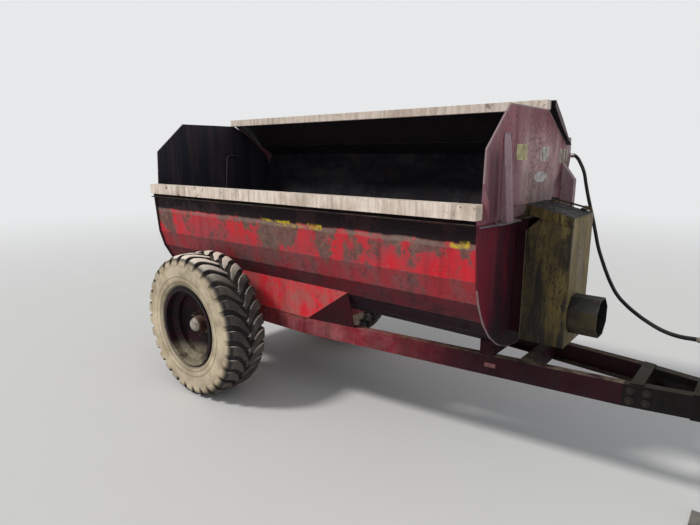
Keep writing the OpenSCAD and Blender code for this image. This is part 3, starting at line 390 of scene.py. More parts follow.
def plate_paint(name, front):
    """End plate: faded plum over red, washed to gray, dark red below the ledge, light worn rim."""
    p = Paint(name)
    c = colours()
    cloud = p.noise(1.9, 5.0, 0.6, shift=4.0)
    fine = p.noise(46.0, 5.0, 0.7, shift=5.0)
    rain = p.noise(11.0, 5.0, 0.62, 0.08, 2.0)
    wide = p.noise(3.2, 4.0, 0.6, 0.4, 9.0)
    p.coat = p.mix(p.step(cloud * 0.5 + wide * 0.5, 0.42, 0.58), c.plum, rgb(142, 84, 92))
    p.lay(p.step(rain, 0.45, 0.68) * 0.4, rgb(156, 138, 138))
    p.lay(p.step(1 - rain, 0.52, 0.7) * 0.4, rgb(62, 44, 52))
    # Washed gray down the middle, red to the sides
    washed = p.band(p.y, 0.22, 0.22, 0.22) * p.step(2.16 - p.z, -0.05, 0.2)
    p.lay(washed * 0.75 * p.step(rain + cloud * 0.4, 0.45, 0.75), rgb(204, 172, 168))
    ruddy = p.step(wide, 0.5, 0.7) * p.step(abs(p.y + 0.06), 0.05, 0.3)
    p.lay(ruddy * 0.55, rgb(122, 44, 56))
    p.lay(p.step(fine * 0.5 + wide * 0.5, 0.5, 0.62) * 0.3, rgb(66, 44, 50))
    shaded = p.step(-p.y, 0.36, 0.40) * p.step(fine * 0.4 + wide * 0.6, 0.3, 0.5)
    p.lay(shaded * 0.35, rgb(98, 48, 60))
    washed_low = p.band(p.y, 0.46, 0.12, 0.12) * p.step(1.80 - p.z, 0.0, 0.16) * p.step(rain, 0.35, 0.6)
    p.lay(washed_low * 0.8, rgb(48, 44, 52))
    p.lay(p.step(wide * 0.7 + fine * 0.3, 0.47, 0.62) * 0.42, rgb(84, 46, 58))
    # Dark red between the near rib and the edge, gray green wash low on the far side
    darker_near_edge = p.band(p.y, -0.475, 0.045, 0.05) * p.band(p.z, 1.78, 0.13, 0.14)
    p.lay(darker_near_edge * (0.62 + 0.33 * p.step(rain, 0.4, 0.6)), rgb(62, 8, 22))
    p.lay(p.band(p.y, 0.30, 0.10, 0.20) * p.step(1.95 - p.z, 0.0, 0.3) * 0.4, rgb(112, 108, 98))
    if front:
        below = p.step(LEDGE_Z - p.z, -0.01, 0.01)
    else:
        below = p.step(1.52 - p.z + (wide - 0.5) * 0.5, -0.22, 0.22)
    deep = p.mix(p.step(wide * 0.6 + rain * 0.4, 0.42, 0.58), rgb(100, 14, 34), rgb(36, 8, 24))
    streak = p.most(p.band(p.y, -0.33, 0.035, 0.05), p.band(p.y, -0.13, 0.05, 0.05))
    deep = p.mix(streak * p.step(fine + rain, 0.7, 1.0) * 0.8, deep, rgb(22, 18, 24))
    deep = p.mix(p.step(rain, 0.52, 0.75) * 0.4, deep, rgb(120, 60, 70))
    black_low = p.step(1.50 - p.z, 0.0, 0.35) * p.step(p.y, -0.56, -0.40)
    deep = p.mix(black_low * (0.45 + 0.4 * p.step(wide, 0.4, 0.6)), deep, rgb(24, 12, 22))
    p.lay(below, deep)
    if front:
        # Dark diagonal down from the hose's corner, and dark runs above the chain case
        along = (p.y - 0.823) * 0.83 + (p.z - 1.918) * 0.56
        across = (p.y - 0.823) * -0.56 + (p.z - 1.918) * 0.83
        hose_corner_dark = p.band(across + (fine - 0.5) * 0.03, 0.0, 0.018, 0.03) * p.band(along, -0.17, 0.14, 0.08)
        p.lay(hose_corner_dark * 0.65, rgb(62, 44, 42))
        soot = p.band(p.y, -0.02, 0.09, 0.1) * p.band(p.z, 1.74, 0.05, 0.12) * p.step(rain, 0.35, 0.65)
        p.lay(soot * 0.6, rgb(40, 34, 38))
    # Worn rim: the distance to the nearest edge of the outline
    down = PLATE_TOP - p.z
    slope = down - (p.y - 0.320) * 0.532
    near_cut = (p.y + 0.297) * 0.899 + down
    near_side = (p.y + 0.585) + (1.986 - p.z) * 0.05
    low_round = 0.635 - p.math("SQRT", p.y * p.y + (p.z - BARREL_Z) * (p.z - BARREL_Z))
    round_on = p.step(p.z, 1.25, 1.2)
    far_side = (0.627 + (p.z - 1.242) * 0.334) - p.y
    edge = p.least(down, slope * 0.88, near_cut * 0.744, near_side + p.step(1.80 - p.z, 0.0, 0.02),
                   far_side * 0.95)
    edge = p.least(edge, low_round * round_on + (1 - round_on))
    bright = 1.0 - p.step(abs(edge + (fine - 0.5) * 0.010), 0.005, 0.011)
    p.lay(bright * 0.6 * p.step(cloud + fine, 0.75, 1.0), rgb(160, 146, 146))
    chips = p.step(fine * 0.6 + cloud * 0.4, 0.6, 0.635)
    p.lay(chips * 0.55, c.rust)
    # Inner side, towards the load: stained steel, painted near black as shade
    inwards = -p.nx if front else p.nx
    inside = p.step(inwards, 0.3, 0.6) * p.step(low_round, -0.35, -0.30)
    p.lay(inside, p.mix(p.step(rain, 0.4, 0.7), rgb(26, 28, 40), rgb(58, 48, 52)))
    rough = 0.5 + fine * 0.2 + chips * 0.2
    return p.done(rough, fine * 0.3 + rain * 0.2 + (1 - chips) * 0.4, 0.0018)


def rail_paint(name, coat, brown, spots):
    """Top rail: pale worn paint with rain streaks, brown spots and a rubbed top."""
    p = Paint(name)
    c = colours()
    fine = p.noise(60.0, 5.0, 0.7, shift=1.0)
    rain = p.noise(26.0, 4.0, 0.6, 0.12, 3.0)
    cloud = p.noise(3.5, 5.0, 0.65, shift=6.0)
    p.coat = p.mix(p.step(rain, 0.4, 0.7) * 0.42, coat, brown)
    p.lay(p.step(cloud, 0.48, 0.7) * 0.38, brown)
    upright = p.step(0.6 - p.nz, 0.0, 0.4)
    p.lay(upright * (0.06 + 0.26 * p.step(rain * 0.5 + cloud * 0.5, 0.40, 0.6)), rgb(150, 124, 104))
    spot = p.step(p.noise(9.0, 4.0, 0.7, shift=12.0) * 0.7 + fine * 0.3, 0.58, 0.63)
    p.lay(spot * spots, c.rust)
    drip = p.step(p.noise(18.0, 2.0, 0.5, 0.05, 15.0), 0.62, 0.72)
    p.lay(drip * 0.4, rgb(96, 78, 62))
    p.lay(p.step(p.nz, 0.5, 0.9) * p.step(cloud, 0.35, 0.6) * 0.35, rgb(150, 136, 118))
    return p.done(0.55 + fine * 0.2, fine * 0.4 + (1 - spot) * 0.4 + rain * 0.2, 0.0016)


# Finishes of the drive, the chassis and the wheels


def case_paint(name, coat, pale, lid=False):
    """Chain case: oily olive on its near side with black runs, darkened there partly as the barrel's
    painted shadow, paler and dusty in front.
    """
    p = Paint(name)
    c = colours()
    fine = p.noise(52.0, 5.0, 0.72, shift=2.0)
    runs = p.noise(15.0, 5.0, 0.66, 0.10, 7.0)
    cloud = p.noise(4.5, 5.0, 0.65, 0.6, 3.0)
    front = p.step(p.nx, 0.5, 0.8)
    thin = p.noise(34.0, 6.0, 0.72, 0.16, 11.0)
    p.coat = p.mix(p.step(cloud, 0.4, 0.62), coat, rgb(60, 52, 34))
    p.lay(p.step(thin, 0.42, 0.6) * 0.45, rgb(52, 44, 30))
    p.lay(front * (0.25 + 0.5 * p.step(runs, 0.42, 0.62)), pale)
    # Black runs of oil are laid thicker on the sides than in front, where they also stand for the
    # barrel's painted shadow on the near side
    oil = p.step(runs * 0.5 + cloud * 0.12 + thin * 0.38, 0.49, 0.56)
    p.lay(oil * (0.86 - front * 0.4), rgb(22, 19, 17))
    p.lay(p.step(thin * 0.6 + fine * 0.4, 0.51, 0.58) * 0.6, rgb(24, 20, 18))
    crust = p.step(fine * 0.6 + p.noise(20.0, 4.0, 0.7, shift=4.0) * 0.4, 0.57, 0.62)
    p.lay(crust * 0.7 * p.step(1.35 - p.z, -0.3, 0.4), rgb(18, 16, 14))
    if lid:
        top = p.step(p.nz, 0.6, 0.9)
        p.lay(top * 0.92, p.mix(p.step(cloud, 0.35, 0.7), rgb(12, 14, 24), rgb(6, 6, 9)))
        p.lay(top * p.step(fine, 0.5, 0.75) * 0.15, c.slate)
    rough = 0.55 + fine * 0.2 - oil * 0.22
    return p.done(rough, fine * 0.4 + oil * 0.3 + crust * 0.4, 0.0022, shine=0.12 if lid else 0.25)


def guard_paint():
    """Shaft guard: slate above, olive brown and oily below, rust at its rim, painted shade on its inner
    faces.
    """
    p = Paint("guard_paint")
    c = colours()
    fine = p.noise(55.0, 5.0, 0.72, shift=6.0)
    cloud = p.noise(8.0, 5.0, 0.66, shift=2.0)
    above = p.step(p.nz, 0.1, 0.6)
    p.coat = p.mix(p.step(cloud, 0.4, 0.64), rgb(56, 48, 32), rgb(28, 25, 22))
    p.lay(above * 0.9, p.mix(p.step(cloud, 0.38, 0.66), rgb(32, 33, 32), rgb(16, 18, 18)))
    rim = p.step(p.x, FRONT + 0.506, FRONT + 0.515)
    p.lay(rim * p.step(fine, 0.45, 0.65) * 0.4, rgb(110, 96, 80))
    # Painted shade: the inner faces of the guard are laid near black
    outer = p.outward(INPUT_Z) * p.step(0.3 - p.nx, 0.0, 0.1)
    p.lay(p.step(-outer, 0.0, 0.03), rgb(24, 21, 20))
    p.lay(p.step(fine * 0.6 + cloud * 0.4, 0.58, 0.63) * 0.7, c.rust)
    return p.done(0.5 + fine * 0.25, fine * 0.5 + cloud * 0.4, 0.002, shine=0.2)


def steel_finish(name, coat, rusted, rough, seed, metal=0.6):
    """Steel: bright where it rubs, brown where it rusts."""
    p = Paint(name)
    c = colours()
    fine = p.noise(70.0, 5.0, 0.7, shift=seed)
    cloud = p.noise(9.0, 5.0, 0.65, shift=seed + 3.0)
    rust = p.step(cloud * 0.6 + fine * 0.4, 0.66 - rusted * 0.3, 0.76 - rusted * 0.3)
    p.coat = p.mix(rust, coat, p.mix(p.step(fine, 0.35, 0.65), c.rust, rgb(58, 36, 28)))
    dirty(p, 0.25, 0.35, seed)
    return p.done(rough + rust * 0.35, fine * 0.5 + rust * 0.4, 0.0014, (1 - rust) * metal)


def tyre_finish():
    """Rubber: dusty sidewalls and lug tops, with a painted highlight on the lug tops that face up and
    back, darker ground between the lugs, dark rings.
    """
    p = Paint("tyre_finish")
    c = colours()
    dx, dz = p.x - AXLE.x, p.z - AXLE.z
    radius = p.math("SQRT", dx * dx + dz * dz)
    side = abs(abs(p.y) - WHEEL_Y)
    fine = p.noise(60.0, 3.0, 0.5, shift=1.0)
    cloud = p.noise(6.0, 4.0, 0.6, shift=5.0)
    wall = p.step(side, 0.158, 0.184) * p.step(0.575 - radius, 0.0, 0.05)
    tops = p.step(radius, 0.573, 0.584)
    p.coat = p.mix(p.step(cloud, 0.35, 0.65), c.rubber, rgb(60, 58, 57))
    dusty = p.step(fine * 0.25 + cloud * 0.75, 0.36, 0.60)
    shoulder = p.step(side, 0.10, 0.16)
    # Lug tops that face up and away from the front: pale dust and a painted highlight
    above = p.step(p.nz - p.nx * 0.6, 0.20, 0.85)
    p.lay(tops * (0.05 + dusty * 0.08 + shoulder * 0.06), rgb(176, 166, 150))
    p.lay(p.step(radius, 0.556, 0.574) * above * 0.95, rgb(240, 228, 212))
    patch = p.noise(3.0, 3.0, 0.5, shift=8.0)
    p.lay(wall * (0.82 + 0.16 * p.step(patch, 0.35, 0.6)),
          p.mix(p.step(cloud, 0.35, 0.7), rgb(216, 200, 172), rgb(176, 160, 134)))
    rings = p.band(radius, 0.372, 0.004, 0.003) + p.band(radius, 0.415, 0.003, 0.003)
    p.lay(rings * wall * 0.4, rgb(70, 66, 60))
    mud = p.step(p.noise(4.0, 4.0, 0.6, shift=11.0), 0.52, 0.7) * p.step(radius, 0.42, 0.55)
    p.lay(mud * 0.3, rgb(92, 82, 66))
    scuff = p.step(p.noise(7.0, 4.0, 0.6, shift=2.0), 0.55, 0.72)
    p.lay(scuff * wall * 0.4, rgb(98, 90, 78))
    relief = fine * 0.25 + cloud * 0.5
    return p.done(0.82 + fine * 0.1, relief, 0.0008, shine=0.15, edge=0.0)


def rim_finish():
    """Wheel rim: dark red, painted nearly black as shade, with dust and painted light in the lower part
    of its well.
    """
    p = Paint("rim_finish")
    c = colours()
    fine = p.noise(60.0, 5.0, 0.7, shift=3.0)
    cloud = p.noise(7.0, 5.0, 0.65, shift=1.0)
    # Dark red, painted nearly black as shade
    p.coat = p.mix(p.step(cloud, 0.36, 0.58), rgb(40, 12, 20), rgb(15, 11, 15))
    p.lay(p.step(fine * 0.6 + cloud * 0.4, 0.56, 0.62) * 0.5, rgb(66, 42, 34))
    # Dust and painted light in the lower part of the well
    dust_and_light = p.step(AXLE.z - 0.16 - p.z, 0.0, 0.12) * p.step(fine * 0.4 + cloud, 0.5, 0.8)
    p.lay(dust_and_light * 0.6, c.dust)
    return p.done(0.5 + fine * 0.25, fine * 0.4 + cloud * 0.4, 0.0018, shine=0.2)


def hose_finish():
    """Hose rubber: black, scuffed, a little dusty on top."""
    p = Paint("hose_finish")
    fine = p.noise(120.0, 4.0, 0.6, shift=2.0)
    cloud = p.noise(14.0, 4.0, 0.6, shift=6.0)
    p.coat = p.mix(p.step(cloud, 0.45, 0.7) * 0.6, rgb(16, 16, 18), rgb(44, 42, 40))
    p.lay(p.step(p.nz, 0.3, 0.9) * p.step(fine, 0.4, 0.6) * 0.35, rgb(96, 90, 78))
    return p.done(0.48 + fine * 0.25, fine, 0.0008, edge=0.0)


def flat_finish(name, coat, other, rough, size, seed, worn):
    """Plain small part: two tones of one colour with specks of rust."""
    p = Paint(name)
    c = colours()
    fine = p.noise(90.0, 4.0, 0.65, shift=seed)
    cloud = p.noise(size, 4.0, 0.65, shift=seed + 2.0)
    p.coat = p.mix(p.step(cloud, 0.4, 0.65), coat, other)
    p.lay(p.step(fine * 0.5 + cloud * 0.5, 0.55, 0.62) * worn, c.rust)
    return p.done(rough + fine * 0.2, fine * 0.5, 0.0006, edge=0.0)


def give(material, *names):
    """Puts a finish on frame nodes."""
    for name in names:
        node = NODES[name]
        if not node.material_slots:
            node.data.materials.append(material)
        for slot in node.material_slots:
            slot.material = material


# Modelling helpers


def mode(name):
    bpy.ops.object.mode_set(mode=name)


def nothing_selected():
    if bpy.context.object and bpy.context.object.mode != "OBJECT":
        mode("OBJECT")
    bpy.ops.object.select_all(action="DESELECT")


def only(piece):
    nothing_selected()
    piece.select_set(True)
    bpy.context.view_layer.objects.active = piece


def linked(name, data):
    """A new object in the scene for a mesh, a curve, a lamp or the camera."""
    piece = bpy.data.objects.new(name, data)
    bpy.context.scene.collection.objects.link(piece)
    return piece


def settle(piece, name, material, body):
    """Names a finished piece, fixes its place in its mesh and lets it ride on a body."""
    only(piece)
    bpy.ops.object.transform_apply(location=True, rotation=True, scale=True)
    piece.name = piece.data.name = name
    piece.data.materials.clear()
    piece.data.materials.append(material)
    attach(piece, body)


def joined(pieces):
    """Several pieces made one."""
    only(pieces[0])
    for piece in pieces[1:]:
        piece.select_set(True)
    if len(pieces) > 1:
        bpy.ops.object.join()
    return bpy.context.view_layer.objects.active


def select_faces(piece, low=0.9, high=1.1):
    """In edit mode, selects the faces whose normal's height is between two values, or those on top."""
    mode("OBJECT")
    mesh = piece.data
    mesh.vertices.foreach_set("select", [False] * len(mesh.vertices))
    mesh.edges.foreach_set("select", [False] * len(mesh.edges))
    for face in mesh.polygons:
        face.select = low < face.normal.z < high
    mode("EDIT")
    bpy.ops.mesh.select_mode(type="FACE")


def select_all():
    """In edit mode, selects the whole piece."""
    mode("EDIT")
    bpy.ops.mesh.select_all(action="SELECT")


def outwards():
    """In edit mode, turns every face of the piece outwards."""
    select_all()
    bpy.ops.mesh.normals_make_consistent(inside=False)
    mode("OBJECT")


def cylinder(sides, radius, height, foot=0.0):
    """A cylinder that stands at a height over the origin."""
    nothing_selected()
    bpy.ops.mesh.primitive_cylinder_add(vertices=sides, radius=radius, depth=height,
                                        location=(0, 0, foot + height / 2))
    bpy.ops.object.transform_apply(location=True)
    return bpy.context.object


def sized(*scale):
    """Gives the new primitive its size."""
    piece = bpy.context.object
    piece.scale = scale
    bpy.ops.object.transform_apply(scale=True)
    return piece


def smooth(piece, degrees=35):
    only(piece)
    bpy.ops.object.shade_smooth_by_angle(angle=math.radians(degrees))


def bevelled(piece, width, segments, degrees=30):
    """Rounds the edges of a piece with a Bevel modifier that is applied."""
    only(piece)
    bevel = piece.modifiers.new("round", "BEVEL")
    bevel.width, bevel.segments = width, segments
    bevel.limit_method, bevel.angle_limit = "ANGLE", math.radians(degrees)
    bpy.ops.object.modifier_apply(modifier=bevel.name)
    return piece


def copies(first, places):
    """Copies of one piece, each with its own mesh, put down by matrices; the first one is used up."""
    pieces = []
    for place in places:
        mesh = first.data.copy()
        mesh.transform(place)
        pieces.append(linked(first.name + "_copy", mesh))
    bpy.data.objects.remove(first)
    return joined(pieces)


def facing(point, direction, turn=0.0):
    """A place at a point with +Z turned to a direction."""
    direction = Vector(direction).normalized()
    return (Matrix.Translation(point) @ direction.to_track_quat("Z", "Y").to_matrix().to_4x4()
            @ Matrix.Rotation(turn, 4, "Z"))


def beside(taper, x, sign, z):
    """A point on the outer face of a tapering beam, and the way in which the face looks."""
    start, half, fall, run = taper
    slope = math.atan2(fall, run)
    return (at(x, sign * (half - (x - start) * fall / run), z),
            Vector((math.sin(slope), sign * math.cos(slope), 0.0)))


def by_wheel(radius, angle, sign, out):
    """A point at a radius and a turn round an axle, beside the middle of its wheel."""
    return AXLE + Vector((radius * math.cos(angle), sign * (WHEEL_Y + out), radius * math.sin(angle)))


def hex_bolt(across, height, stud):
    """One bolt head on its washer, with the end of its stud, standing on z = 0."""
    washer = 0.003
    head = cylinder(6, across / math.sqrt(3), height, washer)
    select_faces(head)
    bpy.ops.mesh.bevel(offset=across * 0.09, segments=2, affect="EDGES")
    mode("OBJECT")
    bolt = joined([head, bevelled(cylinder(20, across * 0.95, washer), 0.0007, 1),
                   bevelled(cylinder(14, across * 0.31, stud, washer + height - 0.001), 0.0012, 1)])
    smooth(bolt, 30)
    return bolt


def bead(radius, *points):
    """A weld bead laid along points, rippled as a hand weld is."""
    curve = bpy.data.curves.new("bead", "CURVE")
    curve.dimensions, curve.bevel_depth, curve.bevel_resolution = "3D", radius, 2
    curve.use_fill_caps = True
    rng = random.Random(int(sum(abs(c) * 997 for p in points for c in p)))
    path = []
    for a, b in zip(points, points[1:]):
        a, b = Vector(a), Vector(b)
        count = max(2, int((b - a).length / (radius * 2.2)))
        path += [a.lerp(b, i / count) for i in range(count)]
    path.append(Vector(points[-1]))
    line = curve.splines.new("POLY")
    line.points.add(len(path) - 1)
    for i, (point, place) in enumerate(zip(line.points, path)):
        point.co = (*place, 1.0)
        point.radius = (1.0 if i % 2 else 0.72) + rng.uniform(-0.12, 0.12)
    only(linked("bead", curve))
    bpy.ops.object.convert(target="MESH")
    select_all()
    bpy.ops.mesh.remove_doubles(threshold=0.00001)
    mode("OBJECT")
    return bpy.context.object


# The steps


class SPREADER_OT_studio(bpy.types.Operator):
    """Camera at the place from which the machine is seen, pale floor, soft light"""
    bl_idname = "spreader.studio"
    bl_label = "Studio"

    def execute(self, context):
        yaw, pitch, roll = (math.radians(a) for a in VIEW_TURN)
        level = math.cos(pitch)
        ahead = Vector((math.cos(yaw) * level, math.sin(yaw) * level, math.sin(pitch)))
        side = Vector((math.sin(yaw), -math.cos(yaw), 0.0))
        above = side.cross(ahead)
        right = side * math.cos(roll) + above * math.sin(roll)
        up = above * math.cos(roll) - side * math.sin(roll)
        data = bpy.data.cameras.new("camera")
        data.lens, data.sensor_width, data.clip_end = VIEW_LENS, 36.0, 200.0
        camera = linked("camera", data)
        turn = Matrix((right, up, -ahead)).transposed().to_4x4()
        camera.matrix_world = Matrix.Translation(at(*VIEW_PLACE)) @ turn
        context.scene.camera = camera

        nothing_selected()
        bpy.ops.mesh.primitive_circle_add(vertices=96, radius=60.0, fill_type="NGON")
        floor = context.object
        floor.name = "floor"
        p = Paint("floor_finish")
        p.coat = p.mix(p.noise(3.0, 4.0, 0.6, shift=2.0) * 0.25, (0.70, 0.70, 0.69), (0.62, 0.62, 0.61))
        p.done(0.85, edge=0.0)
        # Far from the machine the floor glows as the backdrop does
        away = p.step(p.math("SQRT", p.x * p.x + p.y * p.y), 5.0, 17.0)
        near = Num(p, p.tree.nodes["Principled BSDF"].outputs[0])
        far = p.node("ShaderNodeEmission", inputs={"Color": BACKDROP, "Strength": 1.0})
        p.fill(p.tree.nodes["Material Output"].inputs["Surface"],
               p.node("ShaderNodeMixShader", inputs={0: away, 1: near, 2: far}))
        floor.data.materials.append(p.material)

        world = context.scene.world or bpy.data.worlds.new("studio_world")
        context.scene.world = world
        world.use_nodes = True
        sky = Nodes(world.node_tree)
        sky.tree.nodes.clear()
        seen = sky.most(*(sky.node("ShaderNodeLightPath", output="Is %s Ray" % kind)
                          for kind in ("Camera", "Glossy", "Transmission")))
        light = sky.node("ShaderNodeBackground", inputs={0: SKY_LIGHT, 1: SKY_POWER})
        backdrop = sky.node("ShaderNodeBackground", inputs={0: BACKDROP, 1: 1.0})
        surface = sky.tree.nodes.new("ShaderNodeOutputWorld").inputs["Surface"]
        sky.fill(surface, sky.node("ShaderNodeMixShader", inputs={0: seen, 1: light, 2: backdrop}))

        for name, aim, power, spread, tint in LAMPS:
            lamp = bpy.data.lights.new(name, "SUN")
            lamp.energy, lamp.angle, lamp.color = power, math.radians(spread), tint
            holder = linked(name, lamp)
            holder.rotation_mode = "QUATERNION"
            holder.rotation_quaternion = Vector(aim).to_track_quat("-Z", "Y")
        context.scene.view_settings.view_transform = "Standard"
        return {"FINISHED"}


# Route of the hose in millimetres from the front end plate, as in the part's source
HOSE_ROUTE = [(-20, 900, 1944), (12, 900, 1944), (39, 895, 1925), (67, 882, 1888), (104, 860, 1824),
              (135, 826, 1738), (166, 793, 1654), (199, 761, 1570), (231, 732, 1490), (264, 701, 1400),
              (299, 668, 1306), (340, 635, 1223), (380, 602, 1152), (428, 560, 1082), (486, 500, 1024),
              (555, 432, 986), (640, 350, 956), (731, 264, 936), (820, 180, 928), (910, 104, 936),
              (985, 48, 954), (1040, 10, 966)]


class SPREADER_OT_hose(bpy.types.Operator):
    """Hydraulic hose from the far side sheet to its parked coupler, with crimped ends"""
    bl_idname = "spreader.hose"
    bl_label = "Hose"

    def execute(self, context):
        points = [at(x / 1000, y / 1000, z / 1000) for x, y, z in HOSE_ROUTE]
        curve = bpy.data.curves.new("hydraulic_hose", "CURVE")
        curve.dimensions, curve.resolution_u = "3D", 8
        curve.bevel_depth, curve.bevel_resolution = sizes().hose / 2, 5
        curve.use_fill_caps = True
        line = curve.splines.new("BEZIER")
        line.bezier_points.add(len(points) - 1)
        for knot, place in zip(line.bezier_points, points):
            knot.co = place
            knot.handle_left_type = knot.handle_right_type = "AUTO"
        hose = linked("hydraulic_hose", curve)
        curve.materials.append(hose_finish())
        context.view_layer.update()
        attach(hose, "frame")
        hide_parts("hose")
        # Crimped ferrules over both ends of the hose
        crimp = steel_finish("crimp_steel", rgb(150, 146, 136), 0.35, 0.35, 3.0)
        ferrules = []
        for start, after, reach in ((points[0], points[1], 0.036), (points[-1], points[-2], 0.042)):
            ferrule = cylinder(28, 0.0162, reach)
            select_faces(ferrule, -0.5, 0.5)
            bpy.ops.mesh.subdivide(number_cuts=1)
            mode("OBJECT")
            bevelled(ferrule, 0.0016, 2)
            ferrule.data.transform(facing(start, after - start))
            ferrules.append(ferrule)
        ends = joined(ferrules)
        smooth(ends)
        settle(ends, "hose_crimps", crimp, "frame")
        return {"FINISHED"}


class SPREADER_OT_paint_hull(bpy.types.Operator):
    """Worn finishes of the barrel, the end plates, the rails, the ribs and the hood"""
    bl_idname = "spreader.paint_hull"
    bl_label = "Hull finishes"

    def execute(self, context):
        c = colours()
        give(hull_paint(), "side_near", "floor_barrel", "side_far")
        give(plate_paint("front_plate_paint", True), "front_plate")
        give(plate_paint("rear_plate_paint", False), "rear_plate")
        give(rail_paint("near_rail_paint", c.beige, rgb(164, 146, 122), 0.75), "rail_top_near")
        give(rail_paint("far_rail_paint", rgb(236, 222, 208), rgb(176, 146, 130), 0.6), "rail_top_far")
        give(worn_paint("rib_paint", rgb(158, 134, 140), rgb(172, 158, 154), 0.5, 4.0, 0.5, seed=5.0,
                        grime=0.35, streak=0.5, under=rgb(112, 72, 82)), "ribs_front", "ribs_rear")
        # The hood's inside is painted near black, with stains and painted shade
        give(worn_paint("hood_paint", rgb(92, 72, 76), rgb(122, 104, 98), 0.5, 2.5, 0.7, seed=9.0,
                        grime=0.6, inner=0.95), "hood_far")
        give(worn_paint("ledge_paint", rgb(84, 78, 88), rgb(132, 124, 128), 0.5, 6.0, 0.6, seed=2.0,
                        grime=0.5), "ledge_front")
        return {"FINISHED"}


class SPREADER_OT_paint_chassis(bpy.types.Operator):
    """Worn finishes of the chassis, the saddles, the drawbar and the jack"""
    bl_idname = "spreader.paint_chassis"
    bl_label = "Chassis finishes"

    def execute(self, context):
        c = colours()
        # Towards the front the chassis gets the painted shadow of the hull
        chassis = worn_paint("chassis_paint", c.dark_red, rgb(132, 94, 90), 0.8, 5.0, 1.0, 0.3, 0.45,
                             0.55, seed=4.0, under=rgb(166, 96, 98), ahead=0.95, shine=0.12)
        give(chassis, "chassis_rail_near", "chassis_rail_far", "cross_member_rear", "cross_member_bend",
             "cross_member_front", "bolster_rear", "bolster_front", "axle_beam", "bearing_box")
        # The saddles' forward ends get painted shade
        give(worn_paint("saddle_paint", rgb(226, 46, 60), rgb(176, 134, 126), 0.8, 7.0, 1.0, 0.2, 0.45,
                        seed=7.0, under=rgb(168, 104, 98), ends=0.95, shine=0.15),
             "saddle_near", "saddle_far")
        give(worn_paint("drawbar_paint", rgb(14, 13, 12), rgb(32, 28, 24), 0.5, 6.0, 0.4, 0.06, 0.8,
                        seed=3.0, shine=0.12), "drawbar_beam_near", "drawbar_beam_far", "drawbar_nose",
             "cross_member_head")
        give(worn_paint("jack_paint", rgb(58, 62, 72), rgb(110, 106, 100), 0.5, 9.0, 0.6, seed=8.0),
             "jack_tube")
        give(steel_finish("jack_steel", c.steel, 0.5, 0.4, 5.0), "jack_leg")
        give(steel_finish("holder_steel", rgb(96, 84, 74), 0.8, 0.5, 7.0, 0.4), "hose_holder")
        give(steel_finish("fitting_steel", c.steel, 0.4, 0.35, 9.0), "hose_fitting", "hose_coupler")
        return {"FINISHED"}


class SPREADER_OT_paint_drive(bpy.types.Operator):
    """Finishes of the chain case, the guard, the shaft, the bearings, the chain and the rotor"""
    bl_idname = "spreader.paint_drive"
    bl_label = "Drive finishes"

    def execute(self, context):
        c = colours()
        give(case_paint("case_paint", c.olive, rgb(150, 132, 90)), "chain_case")
        give(case_paint("lid_paint", c.olive, rgb(102, 94, 68), True), "case_lid")
        give(guard_paint(), "shaft_guard")
        give(steel_finish("shaft_steel", rgb(150, 146, 138), 0.35, 0.32, 1.0, 0.85), "input_shaft")
        give(steel_finish("bearing_iron", rgb(84, 78, 74), 0.75, 0.5, 2.0, 0.4), "bearings")
        give(steel_finish("chain_steel", rgb(92, 84, 74), 0.45, 0.3, 6.0, 0.8), "drive_chain")
        give(steel_finish("rotor_steel", rgb(104, 92, 84), 0.8, 0.45, 4.0, 0.5), "rotor")
        return {"FINISHED"}


# Section of a tyre from the middle of the tread outwards: across, radius, and the lug's place over it
TYRE_TREAD = [(v, 0.5600, v, 0.5877) for v in (0.000, 0.010, 0.022, 0.036, 0.052, 0.070)] + [
    (0.088, 0.5600, 0.088, 0.5876), (0.104, 0.5597, 0.104, 0.5874), (0.120, 0.5585, 0.121, 0.5865),
    (0.135, 0.5560, 0.137, 0.5838), (0.148, 0.5510, 0.151, 0.5785), (0.159, 0.5430, 0.163, 0.5700),
    (0.168, 0.5320, 0.174, 0.5570), (0.1745, 0.518, 0.1812, 0.539), (0.1790, 0.502, 0.1840, 0.518),
    (0.1820, 0.486, 0.1842, 0.494)]
TYRE_WALL = [(0.1840, 0.468), (0.1849, 0.445), (0.1850, 0.424), (0.1849, 0.4165), (0.1836, 0.4145),
             (0.1849, 0.4125), (0.1846, 0.400), (0.1830, 0.384), (0.1800, 0.3745), (0.1775, 0.3715),
             (0.1790, 0.3685), (0.1760, 0.356), (0.1690, 0.343), (0.1640, 0.338), (0.1600, 0.330),
             (0.1600, 0.3035)]
TYRE_INNER = [(0.1240, 0.3035), (0.1390, 0.3450), (0.1450, 0.400), (0.1450, 0.513), (0.0800, 0.530)]
# Columns of faces in a lug's pitch, how many of them a lug covers from the middle outwards, its last row
LUG_COLUMNS = 16
LUG_WIDTHS = [4.0, 5.0, 7.0, 9.0] + [10.0] * 12
LUG_END = 14
# How far a lug has run along the tread, in metres, at distances across it
LUG_RUN = [(0.0, 0.076), (0.015, 0.062), (0.045, 0.0215), (0.080, -0.0165), (0.125, -0.043),
           (0.190, -0.049)]
TREAD_RADIUS = 0.574


def lug_turn(across):
    """The turn round the axle by which a lug has run at a distance across the tread."""
    for (a, run_a), (b, run_b) in zip(LUG_RUN, LUG_RUN[1:]):
        if across <= b:
            return (run_a + (run_b - run_a) * max(0.0, (across - a) / (b - a))) / TREAD_RADIUS
    return LUG_RUN[-1][1] / TREAD_RADIUS


